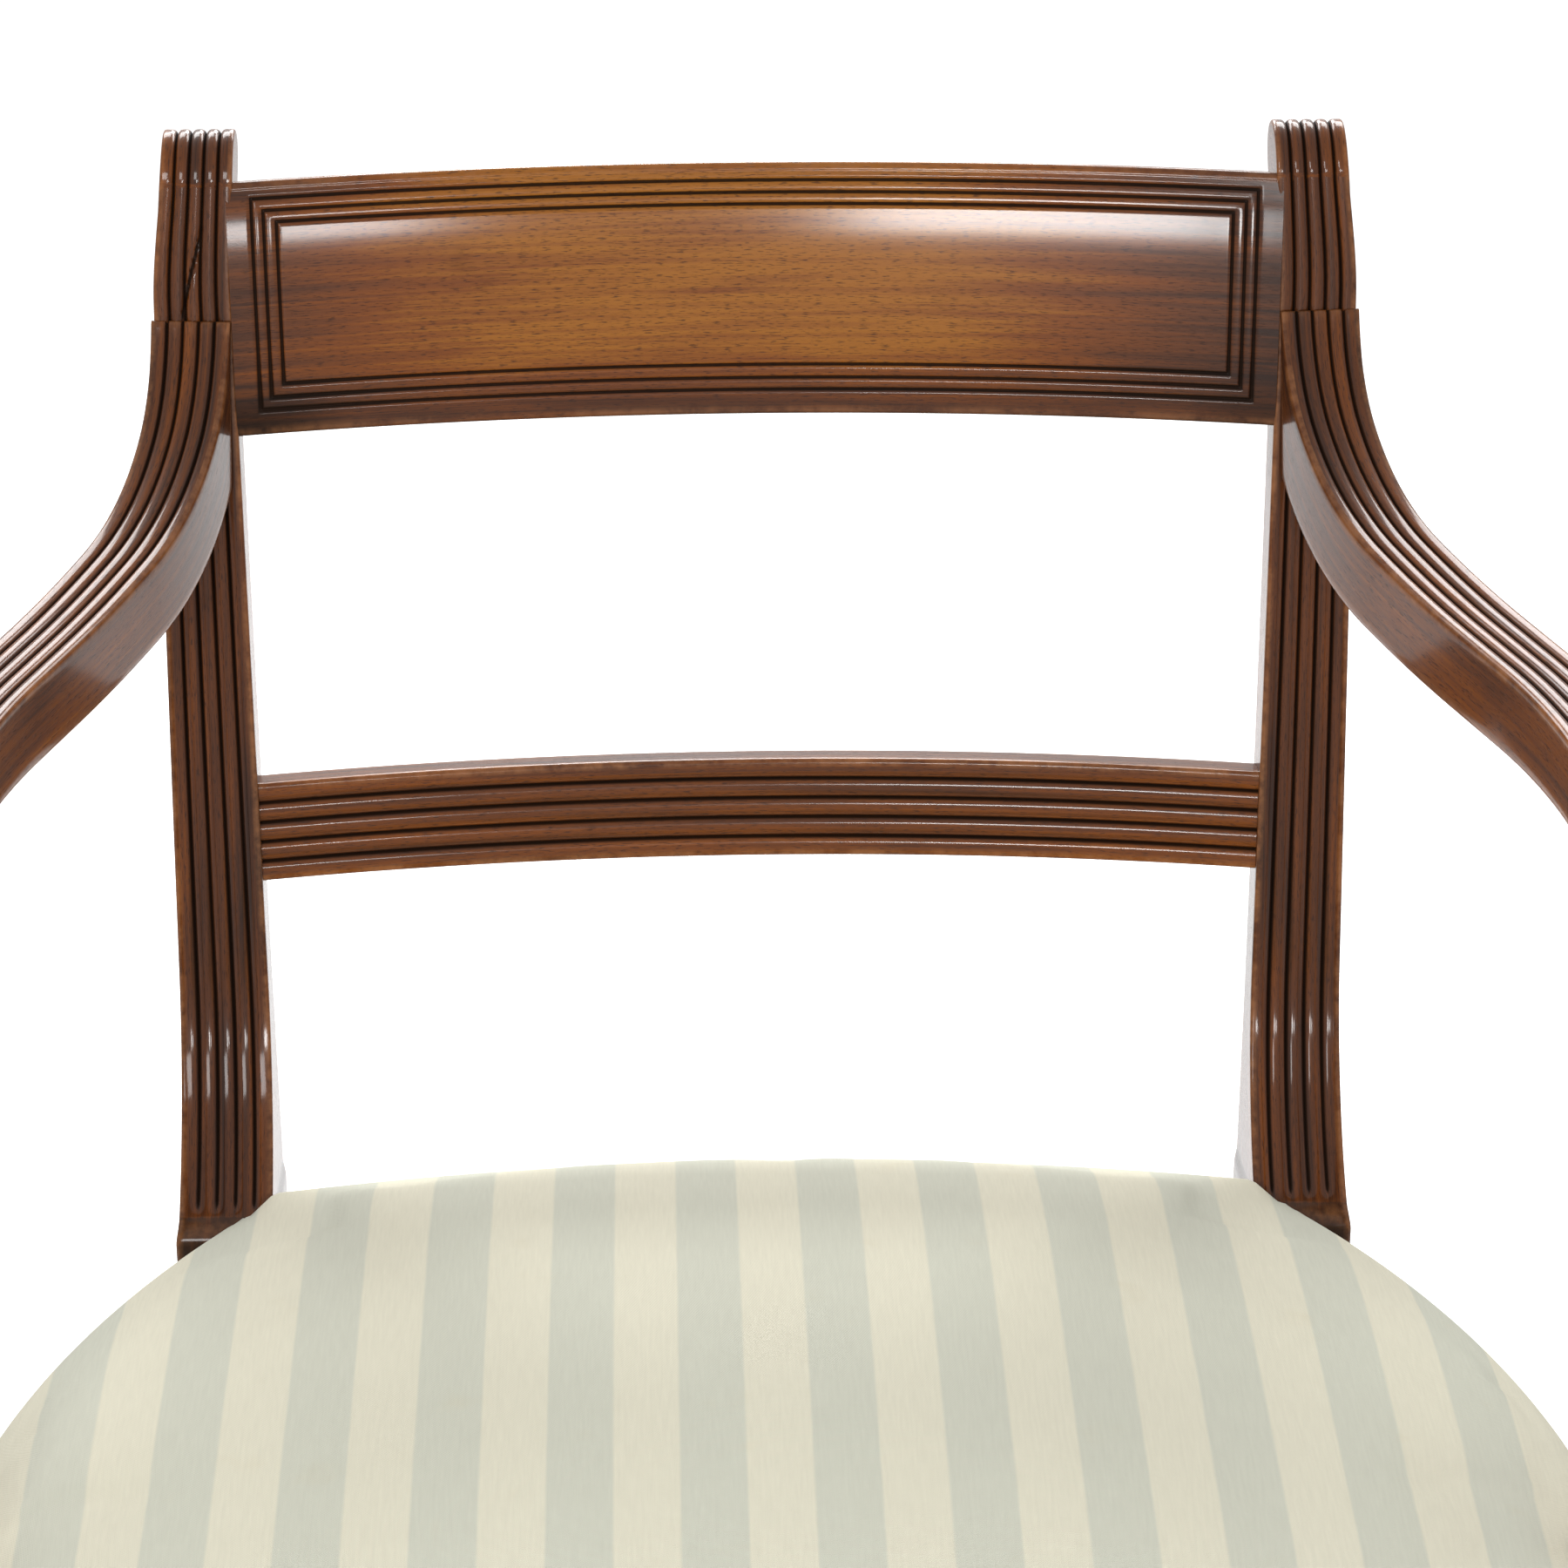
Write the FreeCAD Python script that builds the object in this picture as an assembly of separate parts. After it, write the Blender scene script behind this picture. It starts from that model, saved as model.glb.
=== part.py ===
"""Reeded open armchair with a scrolled back and a stuffed-over seat, one solid per piece.

Millimetres. +X is to the right seen from the front, +Y to the back, +Z up. While the pieces are made, y
is counted from the stops of the back posts' reeds. They are saved with the origin on the floor, under the
middle of the chair.
"""
import FreeCAD
import Part
import math
import os

Vector = FreeCAD.Vector

# Where the saved frame's origin lies, counted from the reed stops
ORIGIN_SHIFT_Y = 131.05

# Back posts
BACK_HALF_WIDTH = 220.0
REED_STOP_Z = 438.0
POST_FOOT_WIDTH = 35.0
POST_TOP_WIDTH = 27.9
POST_TOP_Z = 801.4
POST_TOP_DEPTH = 21.4
POST_FRONT_HEADING = 32.0
POST_FRONT_BENDS = [(93.7, 47.5), (301.2, -1.93)]
POST_BACK_START = (62.5, 427.0)
POST_BACK_HEADING = 85.4
POST_BACK_BENDS = [(83.0, -5.6), (298.2, -2.12)]
SCROLL_RADIUS = 17.0
SCROLL_TURN = 262.0
BLOCK_FRONT_Y = -8.0
BLOCK_PROUD = 1.0
BLOCK_INNER_X = BACK_HALF_WIDTH - POST_FOOT_WIDTH - BLOCK_PROUD
REAR_FOOT_TAPER = 9.0

# Reeding: a flat band, three reeds and a flat band
BAND_SHARE = 0.19
GROOVE_LIP = 0.9
GROOVE_SINK = 1.9
REED_FLATS = 3
REED_FULLNESS = 0.8

# Rails of the back
BACK_BOW = 17.0
CREST_BOTTOM_Z = 716.5
CREST_TOP_Z = 804.5
CREST_THICKNESS = 19.0
MID_RAIL_BOTTOM_Z = 548.0
MID_RAIL_HEIGHT = 38.0
MID_RAIL_THICKNESS = 14.0
MID_RAIL_SETBACK = 2.0
TENON_LENGTH = 16.0
CREST_TENON_MARGINS = (20.0, 24.0)
CREST_TENON_SETBACK = 6.0
CREST_TENON_THICKNESS = 8.0
MID_TENON_MARGIN = 6.5
MID_TENON_SETBACK = 7.0
MID_TENON_THICKNESS = 6.0
INCISED_LINE_MARGINS = [8.0, 12.2, 16.5]
INCISED_LINE_WIDTH = 1.3
INCISED_LINE_DEPTH = 0.9

# Arms
ARM_WIDTH = 28.5
ARM_DEPTH = 31.0
ARM_SWELL = 18.0
ARM_SWELL_RUN = 40.0
ARM_START = (106.2, 771.0)
ARM_DROP_HEADING = -64.0
ARM_DROP_BENDS = [(14.0, 0.0), (45.0, 36.0), (65.0, 21.0), (60.0, 6.0), (222.0, 1.0)]
ARM_PLAN_HEADING = -86.3
ARM_PLAN_BENDS = [(99.0, 17.6), (92.0, 0.0), (110.0, -21.3), (110.0, 0.0)]
ARM_HOUSING = 2.5
ARM_SCREW_Z = 724.0
ARM_SCREW_LENGTH = 33.0
ARM_SCREW_SINK = 15.0
PLUG_RADIUS = 5.0
PLUG_LENGTH = 8.5

# Seat frame and seat
RAIL_TOP_Z = 418.0
RAIL_BOTTOM_Z = 364.0
RAIL_THICKNESS = 28.0
FRAME_INSET = 7.0
SEAT_FLARE_START = (206.0, -6.0)
SEAT_FLARE_HEADING = -51.5
SEAT_HALF_WIDTH = 289.0
SEAT_SIDE_RADIUS = 382.0
SEAT_SIDE_RUN = 72.0
SEAT_CORNER_RADIUS = 70.0
SEAT_CORNER_TURN = 82.0
SEAT_BACK_CORNER = (195.0, 16.0)
SEAT_BACK_BOW = 20.0
SEAT_CENTRE_Y = -185.0
SEAT_EDGE_Z = 428.0
SEAT_CROWN_HEIGHT = 52.0
SEAT_HEM_SCALE = 0.985
DOME_ANGLES = [0, 13, 26, 39, 52, 65, 78]
CLOTH_THICKNESS = 1.6
SHEET_THICKNESS = 0.8
WEB_THICKNESS = 1.4
WEB_WIDTH = 50.0
TACK_RADIUS = 3.0
TACK_LENGTH = 9.0
SCREW_HEAD_RADIUS = 4.0
SCREW_SHANK_RADIUS = 2.0
CLOTH_GAP = 0.5

# Seat frame joints: each tenon is a span in x, in y and in z
SIDE_BACK_TENON = ((188.0, 198.0), (BLOCK_FRONT_Y - 4, BLOCK_FRONT_Y + TENON_LENGTH), (370.0, 388.0))
SIDE_FRONT_TENON = ((260.0, 270.0), (-342.0, -324.0), (374.0, 408.0))
BACK_TENON = ((BLOCK_INNER_X - 4, BLOCK_INNER_X + TENON_LENGTH), (-3.0, 6.0), (393.0, 410.0))
FRONT_TENON = ((224.0, 243.0), (-376.0, -366.0), (374.0, 408.0))
CORNER_BLOCK_Z = 374.0
CORNER_BLOCK_HEIGHT = 34.0
BACK_BLOCK_CORNERS = [(184.0, 8.0), (228.0, -80.0), (95.0, 10.0)]
FRONT_BLOCK_CORNERS = [(262.0, -260.0), (150.0, -372.0), (262.0, -372.0)]
BLOCK_SCREW_LENGTH = 33.0
BLOCK_SCREW_ROOM = 30.0
RAIL_SCREW_LENGTH = 34.0
RAIL_SCREW_HEIGHTS = [386.0, 406.0]
LENGTHWISE_WEBS_X = [-132.0, -44.0, 44.0, 132.0]
CROSSWISE_WEBS_Y = [-70.0, -140.0, -206.0, -310.0]

# Front legs and arm supports
LEG_INNER_X = 231.0
LEG_TOP_WIDTH = 35.0
LEG_FOOT_WIDTH = 27.0
LEG_TOP_DEPTH = 36.0
LEG_FOOT_DEPTH = 26.0
LEG_FRONT_Y = -364.0
LEG_BLOCK_DEPTH = 36.0
LEG_BLOCK_INNER_X = 228.0
LEG_BENDS = [(380.0, -26.0)]
LEG_HEADING = -84.0
SUPPORT_FRONT_Y = -258.0
SUPPORT_BASE_X = 300.0
SUPPORT_BASE_Z = 372.0
SUPPORT_TOP_X = 293.0
SUPPORT_WIDTH = 26.0
SUPPORT_DEPTH = 25.0
SUPPORT_SCREW_X = 257.0
SUPPORT_BENDS = [(56.0, 0.0), (85.0, -22.0), (120.0, 44.0), (52.0, 0.0)]


def along(start, heading, bends, distance):
    """Walk a chain of arcs, each a (length, turn) pair; return both coordinates and the heading."""
    u, v = start
    angle = math.radians(heading)
    for length, turn in bends:
        run = min(distance, length)
        half_swing = math.radians(turn) * run / length / 2
        chord = run if half_swing == 0 else run * math.sin(half_swing) / half_swing
        u += chord * math.cos(angle + half_swing)
        v += chord * math.sin(angle + half_swing)
        angle += 2 * half_swing
        distance -= run
        if distance <= 0:
            break
    return u, v, angle


def total_length(bends):
    """Length of a chain of arcs."""
    return sum(length for length, _ in bends)


def chain(start, *steps):
    """Wire from start: a point is a straight run, a pair (via, end) is an arc."""
    edges = []
    here = start
    for step in steps:
        if isinstance(step, tuple):
            via, end = step
            edges.append(Part.Arc(here, via, end).toShape())
        else:
            end = step
            edges.append(Part.makeLine(here, end))
        here = end
    return Part.Wire(edges)


def reeded_section(corner, across, inward, width, depth):
    """Closed section whose face has a flat band, three reeds and a flat band.

    Each reed is a half wave, rounded in a few flats as a moulding plane leaves it.
    """
    band = width * BAND_SHARE
    reed = (width - 2 * band - 2 * GROOVE_LIP) / 3
    face = [(0, 0), (band, 0)]
    for step in range(3 * REED_FLATS + 1):
        share = step / REED_FLATS
        rise = abs(math.sin(math.pi * share)) ** REED_FULLNESS
        face.append((band + GROOVE_LIP + reed * share, GROOVE_SINK * (1 - rise)))
    face += [(width - band, 0), (width, 0), (width, depth), (0, depth), (0, 0)]
    return Part.makePolygon([corner + across * a + inward * d for a, d in face])


def reeded_scroll(corner, across, inward, forward, width, radius):
    """Scroll that carries a section's reeds on, forward and then round an axis under its face."""
    face = Part.Face(reeded_section(corner, across, inward, width, radius))
    return face.revolve(corner + inward * radius, forward.cross(inward), SCROLL_TURN)


def side_prism(wire, x_from, x_to):
    """Solid from an outline drawn in the side view, from one x to another."""
    flat = Part.Face(wire)
    flat.translate(Vector(x_from, 0, 0))
    return flat.extrude(Vector(x_to - x_from, 0, 0))


def box(x_from, x_to, y_from, y_to, z_from, z_to):
    """Box between two corners."""
    size = (x_to - x_from, y_to - y_from, z_to - z_from)
    return Part.makeBox(*size, Vector(x_from, y_from, z_from))


def mirrored(shape):
    """The same piece for the other side of the chair."""
    return shape.mirror(Vector(0, 0, 0), Vector(1, 0, 0))


def tidy(shape):
    """One clean solid out of a Boolean result."""
    solid = shape.removeSplitter()
    return solid.Solids[0] if len(solid.Solids) == 1 else solid


def post_width(z):
    """Width of a post's face at a height: it narrows evenly to the scroll."""
    share = (z - REED_STOP_Z) / (POST_TOP_Z - REED_STOP_Z)
    return POST_FOOT_WIDTH + (POST_TOP_WIDTH - POST_FOOT_WIDTH) * share


def post_face(distance):
    """Point and heading of the post's front face, in the side view, at a distance from the reed stop."""
    return along((0.0, REED_STOP_Z), POST_FRONT_HEADING, POST_FRONT_BENDS, distance)


def post_face_y(z):
    """y of the post's front face at a height, by halving the distance along it."""
    low, high = 0.0, total_length(POST_FRONT_BENDS)
    for _ in range(40):
        middle = (low + high) / 2
        if post_face(middle)[1] < z:
            low = middle
        else:
            high = middle
    return post_face(low)[0]


def post_section(share_of_bend, bend):
    """Section of the post at a share of one of its two bends, from front face to back face."""
    walked = total_length(POST_FRONT_BENDS[:bend])
    y, z, _ = post_face(walked + share_of_bend * POST_FRONT_BENDS[bend][0])
    walked = total_length(POST_BACK_BENDS[:bend])
    back = along(POST_BACK_START, POST_BACK_HEADING, POST_BACK_BENDS,
                 walked + share_of_bend * POST_BACK_BENDS[bend][0])
    corner = Vector(BACK_HALF_WIDTH, y, z)
    inward = Vector(0, back[0] - y, back[1] - z)
    depth = inward.Length
    return reeded_section(corner, Vector(-1, 0, 0), inward.normalize(), post_width(z), depth)


def scroll_frame():
    """Corner, inward and upward directions of the right post's section where its scroll begins."""
    y, z, angle = post_face(total_length(POST_FRONT_BENDS))
    inward = Vector(0, math.sin(angle), -math.cos(angle))
    upward = Vector(0, math.cos(angle), math.sin(angle))
    return Vector(BACK_HALF_WIDTH, y, z), inward, upward


def post_stile():
    """Reeded upper part of the right post, with its scroll."""
    across = Vector(-1, 0, 0)
    corner, inward, upward = scroll_frame()
    width = post_width(corner.z)
    sections = [post_section(step / 4, 0) for step in range(4)]
    sections += [post_section(step / 4, 1) for step in range(4)]
    sections.append(reeded_section(corner, across, inward, width, POST_TOP_DEPTH))
    stile = Part.makeLoft(sections, True, True)
    return stile.fuse(reeded_scroll(corner, across, inward, upward, width, SCROLL_RADIUS))


def post_leg():
    """Seat block and rear sabre leg of the right post."""
    outline = chain(
        Vector(0, 0, REED_STOP_Z),
        Vector(0, -6, REED_STOP_Z - 3.7),
        Vector(0, BLOCK_FRONT_Y, REED_STOP_Z - 7),
        Vector(0, BLOCK_FRONT_Y, RAIL_BOTTOM_Z),
        (Vector(0, 13.5, 352), Vector(0, 22, 330)),
        (Vector(0, 37.3, 161.5), Vector(0, 88, 0)),
        Vector(0, 122, 0),
        (Vector(0, 68.5, 210.2), Vector(0, *POST_BACK_START)),
        Vector(0, 0, REED_STOP_Z))
    leg = side_prism(outline, BLOCK_INNER_X, BACK_HALF_WIDTH + BLOCK_PROUD)
    wedge = Part.Face(chain(
        Vector(BLOCK_INNER_X, -50, RAIL_BOTTOM_Z),
        Vector(BLOCK_INNER_X + REAR_FOOT_TAPER, -50, 0),
        Vector(BLOCK_INNER_X, -50, 0),
        Vector(BLOCK_INNER_X, -50, RAIL_BOTTOM_Z)))
    return leg.cut(wedge.extrude(Vector(0, 250, 0)))


def back_post():
    """Right post before its mortices are cut."""
    return post_stile().fuse(post_leg())


def bowed(section_face, front_y):
    """Turn a section that stands at the chair's middle into a rail bowed to the back."""
    reach = BACK_HALF_WIDTH - 26
    radius = (reach ** 2 + BACK_BOW ** 2) / (2 * BACK_BOW)
    axis = Vector(0, front_y + BACK_BOW - radius, 0)
    half_angle = math.degrees(math.asin(reach / radius))
    face = section_face.copy()
    face.rotate(axis, Vector(0, 0, 1), -half_angle)
    return face.revolve(axis, Vector(0, 0, 1), 2 * half_angle)


def crest_profile(skin):
    """Side view of the crest rail at the chair's middle; skin limits it to a depth behind its face."""
    bottom_y = post_face_y(CREST_BOTTOM_Z) + BACK_BOW
    shoulder_z = CREST_TOP_Z - 9
    shoulder_y = post_face_y(shoulder_z) + BACK_BOW
    face_foot = Vector(0, bottom_y, CREST_BOTTOM_Z)
    shoulder = Vector(0, shoulder_y, shoulder_z)
    lean = (shoulder - face_foot).normalize()
    behind = Vector(0, lean.z, -lean.y)
    if skin:
        depth = behind * skin
        front = behind * -1.0
        return chain(face_foot + front, shoulder + front, shoulder + depth, face_foot + depth,
                     face_foot + front)
    top = Vector(0, shoulder_y + 10, CREST_TOP_Z)
    crown = Vector(0, shoulder_y + 3.6, CREST_TOP_Z - 2.8)
    back_top = Vector(0, shoulder_y + CREST_THICKNESS, CREST_TOP_Z - 4)
    return chain(face_foot, shoulder, (crown, top), back_top, face_foot + behind * CREST_THICKNESS,
                 face_foot)


def incised_lines(skin):
    """Three frames of shallow lines round the crest rail's panel, cut out of its skin."""
    half_length = BACK_HALF_WIDTH - post_width(CREST_TOP_Z)
    grooves = []
    for margin in INCISED_LINE_MARGINS:
        inner = margin + INCISED_LINE_WIDTH
        ring = box(margin - half_length, half_length - margin, 0, 200,
                   CREST_BOTTOM_Z + margin, CREST_TOP_Z - margin)
        ring = ring.cut(box(inner - half_length, half_length - inner, 0, 200,
                            CREST_BOTTOM_Z + inner, CREST_TOP_Z - inner))
        grooves.append(skin.common(ring))
    return grooves


def crest_blank():
    """Bowed tablet with its incised lines, longer than the gap between the posts."""
    front_y = post_face_y((CREST_BOTTOM_Z + CREST_TOP_Z) / 2)
    blank = bowed(Part.Face(crest_profile(0)), front_y)
    skin = bowed(Part.Face(crest_profile(INCISED_LINE_DEPTH)), front_y)
    return blank.cut(incised_lines(skin))


def mid_rail_blank():
    """Bowed reeded rail, longer than the gap between the posts."""
    foot_y = post_face_y(MID_RAIL_BOTTOM_Z)
    lean = math.atan2(post_face_y(MID_RAIL_BOTTOM_Z + MID_RAIL_HEIGHT) - foot_y, MID_RAIL_HEIGHT)
    up = Vector(0, math.sin(lean), math.cos(lean))
    behind = Vector(0, math.cos(lean), -math.sin(lean))
    corner = Vector(0, foot_y + BACK_BOW + MID_RAIL_SETBACK, MID_RAIL_BOTTOM_Z)
    section = reeded_section(corner, up, behind, MID_RAIL_HEIGHT, MID_RAIL_THICKNESS)
    return bowed(Part.Face(section), foot_y)


def rail_tenon(z_from, z_to, setback, thickness):
    """Tenon at the right end of a rail of the back, leaning with the post's face."""
    low_y = post_face_y(z_from) + setback
    high_y = post_face_y(z_to) + setback
    wire = chain(Vector(0, low_y, z_from), Vector(0, high_y, z_to), Vector(0, high_y + thickness, z_to),
                 Vector(0, low_y + thickness, z_from), Vector(0, low_y, z_from))
    inner_x = BACK_HALF_WIDTH - post_width((z_from + z_to) / 2)
    return side_prism(wire, inner_x - 4, inner_x + TENON_LENGTH)


def largest(shape):
    """The largest solid of a Boolean result."""
    return max(shape.Solids, key=lambda solid: solid.Volume)


def shouldered(blank, post, tenon):
    """Rail of the back whose ends follow both posts' inner faces and carry tenons."""
    rail = largest(blank.cut([post, mirrored(post)]))
    return tidy(rail.fuse([tenon, mirrored(tenon)]))


def arm_station(distance):
    """Corner, across and inward directions of the right arm's section at a distance along it."""
    run, z, drop = along((0.0, ARM_START[1]), ARM_DROP_HEADING, ARM_DROP_BENDS, distance)
    start = (BACK_HALF_WIDTH, ARM_START[0])
    x, y, plan = along(start, ARM_PLAN_HEADING, ARM_PLAN_BENDS, run)
    tangent = Vector(math.cos(drop) * math.cos(plan), math.cos(drop) * math.sin(plan), math.sin(drop))
    across = Vector(math.sin(plan), -math.cos(plan), 0)
    return Vector(x, y, z), across, tangent.cross(across)


def arm_blank():
    """Right arm: reeded sweep and front scroll, running on into the post."""
    length = total_length(ARM_DROP_BENDS)
    distances = [0, 14, 29, 44, 59, 80, 102, 124, 154, 205, 255, 300, 345, length]
    sections = []
    for distance in distances:
        corner, across, inward = arm_station(distance)
        depth = ARM_DEPTH + ARM_SWELL * math.exp(-distance / ARM_SWELL_RUN)
        sections.append(reeded_section(corner, across, inward, ARM_WIDTH, depth))
    sweep = Part.makeLoft(sections, True, True)
    corner, across, inward = arm_station(length)
    scroll = reeded_scroll(corner, across, inward, across.cross(inward), ARM_WIDTH, SCROLL_RADIUS)
    return sweep.fuse(scroll)


def behind_arm_housing():
    """Everything behind the flat on the post that the arm is seated against."""
    low_z, high_z = 600.0, 860.0
    low_y = post_face_y(650.0)
    slope = (post_face_y(750.0) - low_y) / 100.0
    y_low = low_y + slope * (low_z - 650.0) + ARM_HOUSING
    y_high = low_y + slope * (high_z - 650.0) + ARM_HOUSING
    wire = chain(Vector(0, y_low, low_z), Vector(0, y_high, high_z), Vector(0, 400, high_z),
                 Vector(0, 400, low_z), Vector(0, y_low, low_z))
    return side_prism(wire, 0, 400)


def support_stations(swell):
    """Corner and inward direction of the right arm support's sections, moved out by a swell."""
    length = total_length(SUPPORT_BENDS)
    stations = []
    for distance in [0, 56, 84, 112, 141, 171, 201, 231, 261, length]:
        y, z, angle = along((SUPPORT_FRONT_Y, SUPPORT_BASE_Z), 90, SUPPORT_BENDS, distance)
        x = SUPPORT_BASE_X + (SUPPORT_TOP_X - SUPPORT_BASE_X) * distance / length
        inward = Vector(0, math.sin(angle), -math.cos(angle))
        stations.append((Vector(x + swell, y, z) - inward * swell, inward))
    return stations


def support_blank():
    """Right arm support: reeded upright, curved to the back between rail and arm."""
    across = Vector(-1, 0, 0)
    sections = [reeded_section(corner, across, inward, SUPPORT_WIDTH, SUPPORT_DEPTH)
                for corner, inward in support_stations(0)]
    return Part.makeLoft(sections, True, True)


def support_room(gap):
    """Plain room round the right arm support, larger by a gap."""
    across = Vector(-(SUPPORT_WIDTH + 2 * gap), 0, 0)
    sections = []
    for corner, inward in support_stations(gap):
        far = corner + inward * (SUPPORT_DEPTH + 2 * gap)
        sections.append(Part.makePolygon([corner, corner + across, far + across, far, corner]))
    return Part.makeLoft(sections, True, True)


def seat_outline(scale, z):
    """Plan of the seat at a height, scaled about its middle: bowed back, flared sides, bowed front."""
    side_turn = 90 + SEAT_FLARE_HEADING
    side_length = SEAT_SIDE_RADIUS * math.radians(side_turn)
    corner_length = SEAT_CORNER_RADIUS * math.radians(SEAT_CORNER_TURN)
    front_turn = 90 - SEAT_CORNER_TURN
    corner_start = side_length + SEAT_SIDE_RUN
    bends = [(side_length, -side_turn), (SEAT_SIDE_RUN, 0.0), (corner_length, -SEAT_CORNER_TURN)]
    stops = [side_length * step / 6 for step in range(7)]
    stops += [corner_start + corner_length * step / 5 for step in range(6)]
    half = [along(SEAT_FLARE_START, SEAT_FLARE_HEADING, bends, stop)[:2] for stop in stops]
    corner_x, corner_y = half[-1]
    front_drop = corner_x * math.tan(math.radians(front_turn) / 2)
    half += [(corner_x * share, corner_y - front_drop * (1 - share ** 2)) for share in (2 / 3, 1 / 3)]
    back_x, back_y = SEAT_BACK_CORNER
    back = [(back_x * share, back_y + SEAT_BACK_BOW * (1 - share ** 2)) for share in (1 / 3, 2 / 3, 1)]
    right = back + half
    ring = right + [(-x, y) for x, y in reversed(right)]
    points = [Vector(x * scale, SEAT_CENTRE_Y + (y - SEAT_CENTRE_Y) * scale, z) for x, y in ring]
    return points + points[:1]


def seat_plan(scale, z):
    """Flat face over the seat's plan."""
    return Part.Face(Part.makePolygon(seat_outline(scale, z)))


def stacked(rings):
    """Solid between closed rings of corners, one above another and alike in shape."""
    faces = [Part.Face(Part.makePolygon(ring)) for ring in (rings[0], rings[-1])]
    for lower, upper in zip(rings, rings[1:]):
        for low, low_next, up, up_next in zip(lower, lower[1:], upper, upper[1:]):
            faces.append(Part.Face(Part.makePolygon([low, low_next, up_next, up, low])))
    return Part.makeSolid(Part.makeShell(faces))


def seat_form(inset):
    """Domed seat over the rails, drawn in all round and lowered on top by an inset."""
    drawn_in = inset / SEAT_HALF_WIDTH
    rings = [seat_outline(SEAT_HEM_SCALE - drawn_in, RAIL_BOTTOM_Z)]
    for angle in DOME_ANGLES:
        rise = (SEAT_CROWN_HEIGHT - inset) * math.sin(math.radians(angle))
        scale = (1 - drawn_in) * math.cos(math.radians(angle))
        rings.append(seat_outline(scale, SEAT_EDGE_Z + rise))
    return stacked(rings)


def frame_prism(inset, z_from, z_to):
    """Upright prism over the seat's plan, drawn in by an inset."""
    return seat_plan(1 - inset / SEAT_HALF_WIDTH, z_from).extrude(Vector(0, 0, z_to - z_from))


def rail_ring(z_top):
    """Ring of the seat frame's thickness, from which the rails are cut."""
    outer = frame_prism(FRAME_INSET, RAIL_BOTTOM_Z, z_top)
    return outer.cut(frame_prism(FRAME_INSET + RAIL_THICKNESS, RAIL_BOTTOM_Z, z_top))


def leg_block():
    """Upper end of the right front leg, rounded to the frame's corner."""
    block = box(LEG_BLOCK_INNER_X, SEAT_HALF_WIDTH, LEG_FRONT_Y - 40, LEG_FRONT_Y + LEG_BLOCK_DEPTH,
                RAIL_BOTTOM_Z, RAIL_TOP_Z)
    return block.common(frame_prism(FRAME_INSET, RAIL_BOTTOM_Z, RAIL_TOP_Z))


def front_leg():
    """Right front leg: frame block and reeded sabre leg."""
    length = total_length(LEG_BENDS)
    sections = []
    for step in range(6):
        share = step / 5
        y, z, angle = along((LEG_FRONT_Y, RAIL_BOTTOM_Z), LEG_HEADING, LEG_BENDS, share * length)
        width = LEG_TOP_WIDTH + (LEG_FOOT_WIDTH - LEG_TOP_WIDTH) * share
        depth = LEG_TOP_DEPTH + (LEG_FOOT_DEPTH - LEG_TOP_DEPTH) * share
        inward = Vector(0, -math.sin(angle), math.cos(angle))
        corner = Vector(LEG_INNER_X + (LEG_TOP_WIDTH + width) / 2, y, z)
        sections.append(reeded_section(corner, Vector(-1, 0, 0), inward, width, depth))
    sabre = Part.makeLoft(sections, True, True)
    sabre = sabre.common(box(0, 400, -600, 0, 0, RAIL_BOTTOM_Z))
    return sabre.fuse(leg_block())


def support_tenon():
    """Tenon on top of the right arm support, inside the arm."""
    y, z, _ = along((SUPPORT_FRONT_Y, SUPPORT_BASE_Z), 90, SUPPORT_BENDS, total_length(SUPPORT_BENDS))
    x_from = SUPPORT_TOP_X - SUPPORT_WIDTH / 2 - 5
    return box(x_from, x_from + 10, y + 8, y + 18, z - 14, z + 8)


def tenon(spans_xyz):
    """Box from its spans in x, y and z."""
    (x_from, x_to), (y_from, y_to), (z_from, z_to) = spans_xyz
    return box(x_from, x_to, y_from, y_to, z_from, z_to)


def corner_block(points, neighbours):
    """Three-cornered block of the seat frame, fitted to its neighbours."""
    corners = [Vector(x, y, CORNER_BLOCK_Z) for x, y in points]
    prism = Part.Face(chain(corners[0], corners[1], corners[2], corners[0]))
    return largest(prism.extrude(Vector(0, 0, CORNER_BLOCK_HEIGHT)).cut(neighbours))


def webbing(x_spans, y_spans, z_from):
    """Strips of webbing over the seat frame, each a span in x by a span in y."""
    frame = frame_prism(FRAME_INSET + 6, z_from, z_from + WEB_THICKNESS)
    strips = []
    for x_from, x_to in x_spans:
        for y_from, y_to in y_spans:
            strip = box(x_from, x_to, y_from, y_to, z_from, z_from + WEB_THICKNESS)
            strips.append(strip.common(frame).Solids[0])
    return Part.makeCompound(strips)


def spans(centres, width):
    """Spans of one width about each centre."""
    return [(centre - width / 2, centre + width / 2) for centre in centres]


def cloth_clearance():
    """Room that the seat's soft layers leave for both posts and both arm supports."""
    post_room = box(BLOCK_INNER_X - CLOTH_GAP, BACK_HALF_WIDTH + BLOCK_PROUD + CLOTH_GAP,
                    BLOCK_FRONT_Y - CLOTH_GAP, 90, RAIL_BOTTOM_Z - 20, 520)
    return [post_room, support_room(CLOTH_GAP), mirrored(post_room), mirrored(support_room(CLOTH_GAP))]


def seat_cover(legs):
    """Striped cloth over the stuffing and the rails, turned under the frame."""
    shell = seat_form(0).cut(seat_form(CLOTH_THICKNESS))
    hem = seat_plan(SEAT_HEM_SCALE, RAIL_BOTTOM_Z - SHEET_THICKNESS)
    hem = hem.cut(seat_plan(SEAT_HEM_SCALE - 0.07, RAIL_BOTTOM_Z - SHEET_THICKNESS))
    hem = hem.extrude(Vector(0, 0, SHEET_THICKNESS))
    return tidy(shell.fuse(hem).cut(cloth_clearance() + legs))


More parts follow.
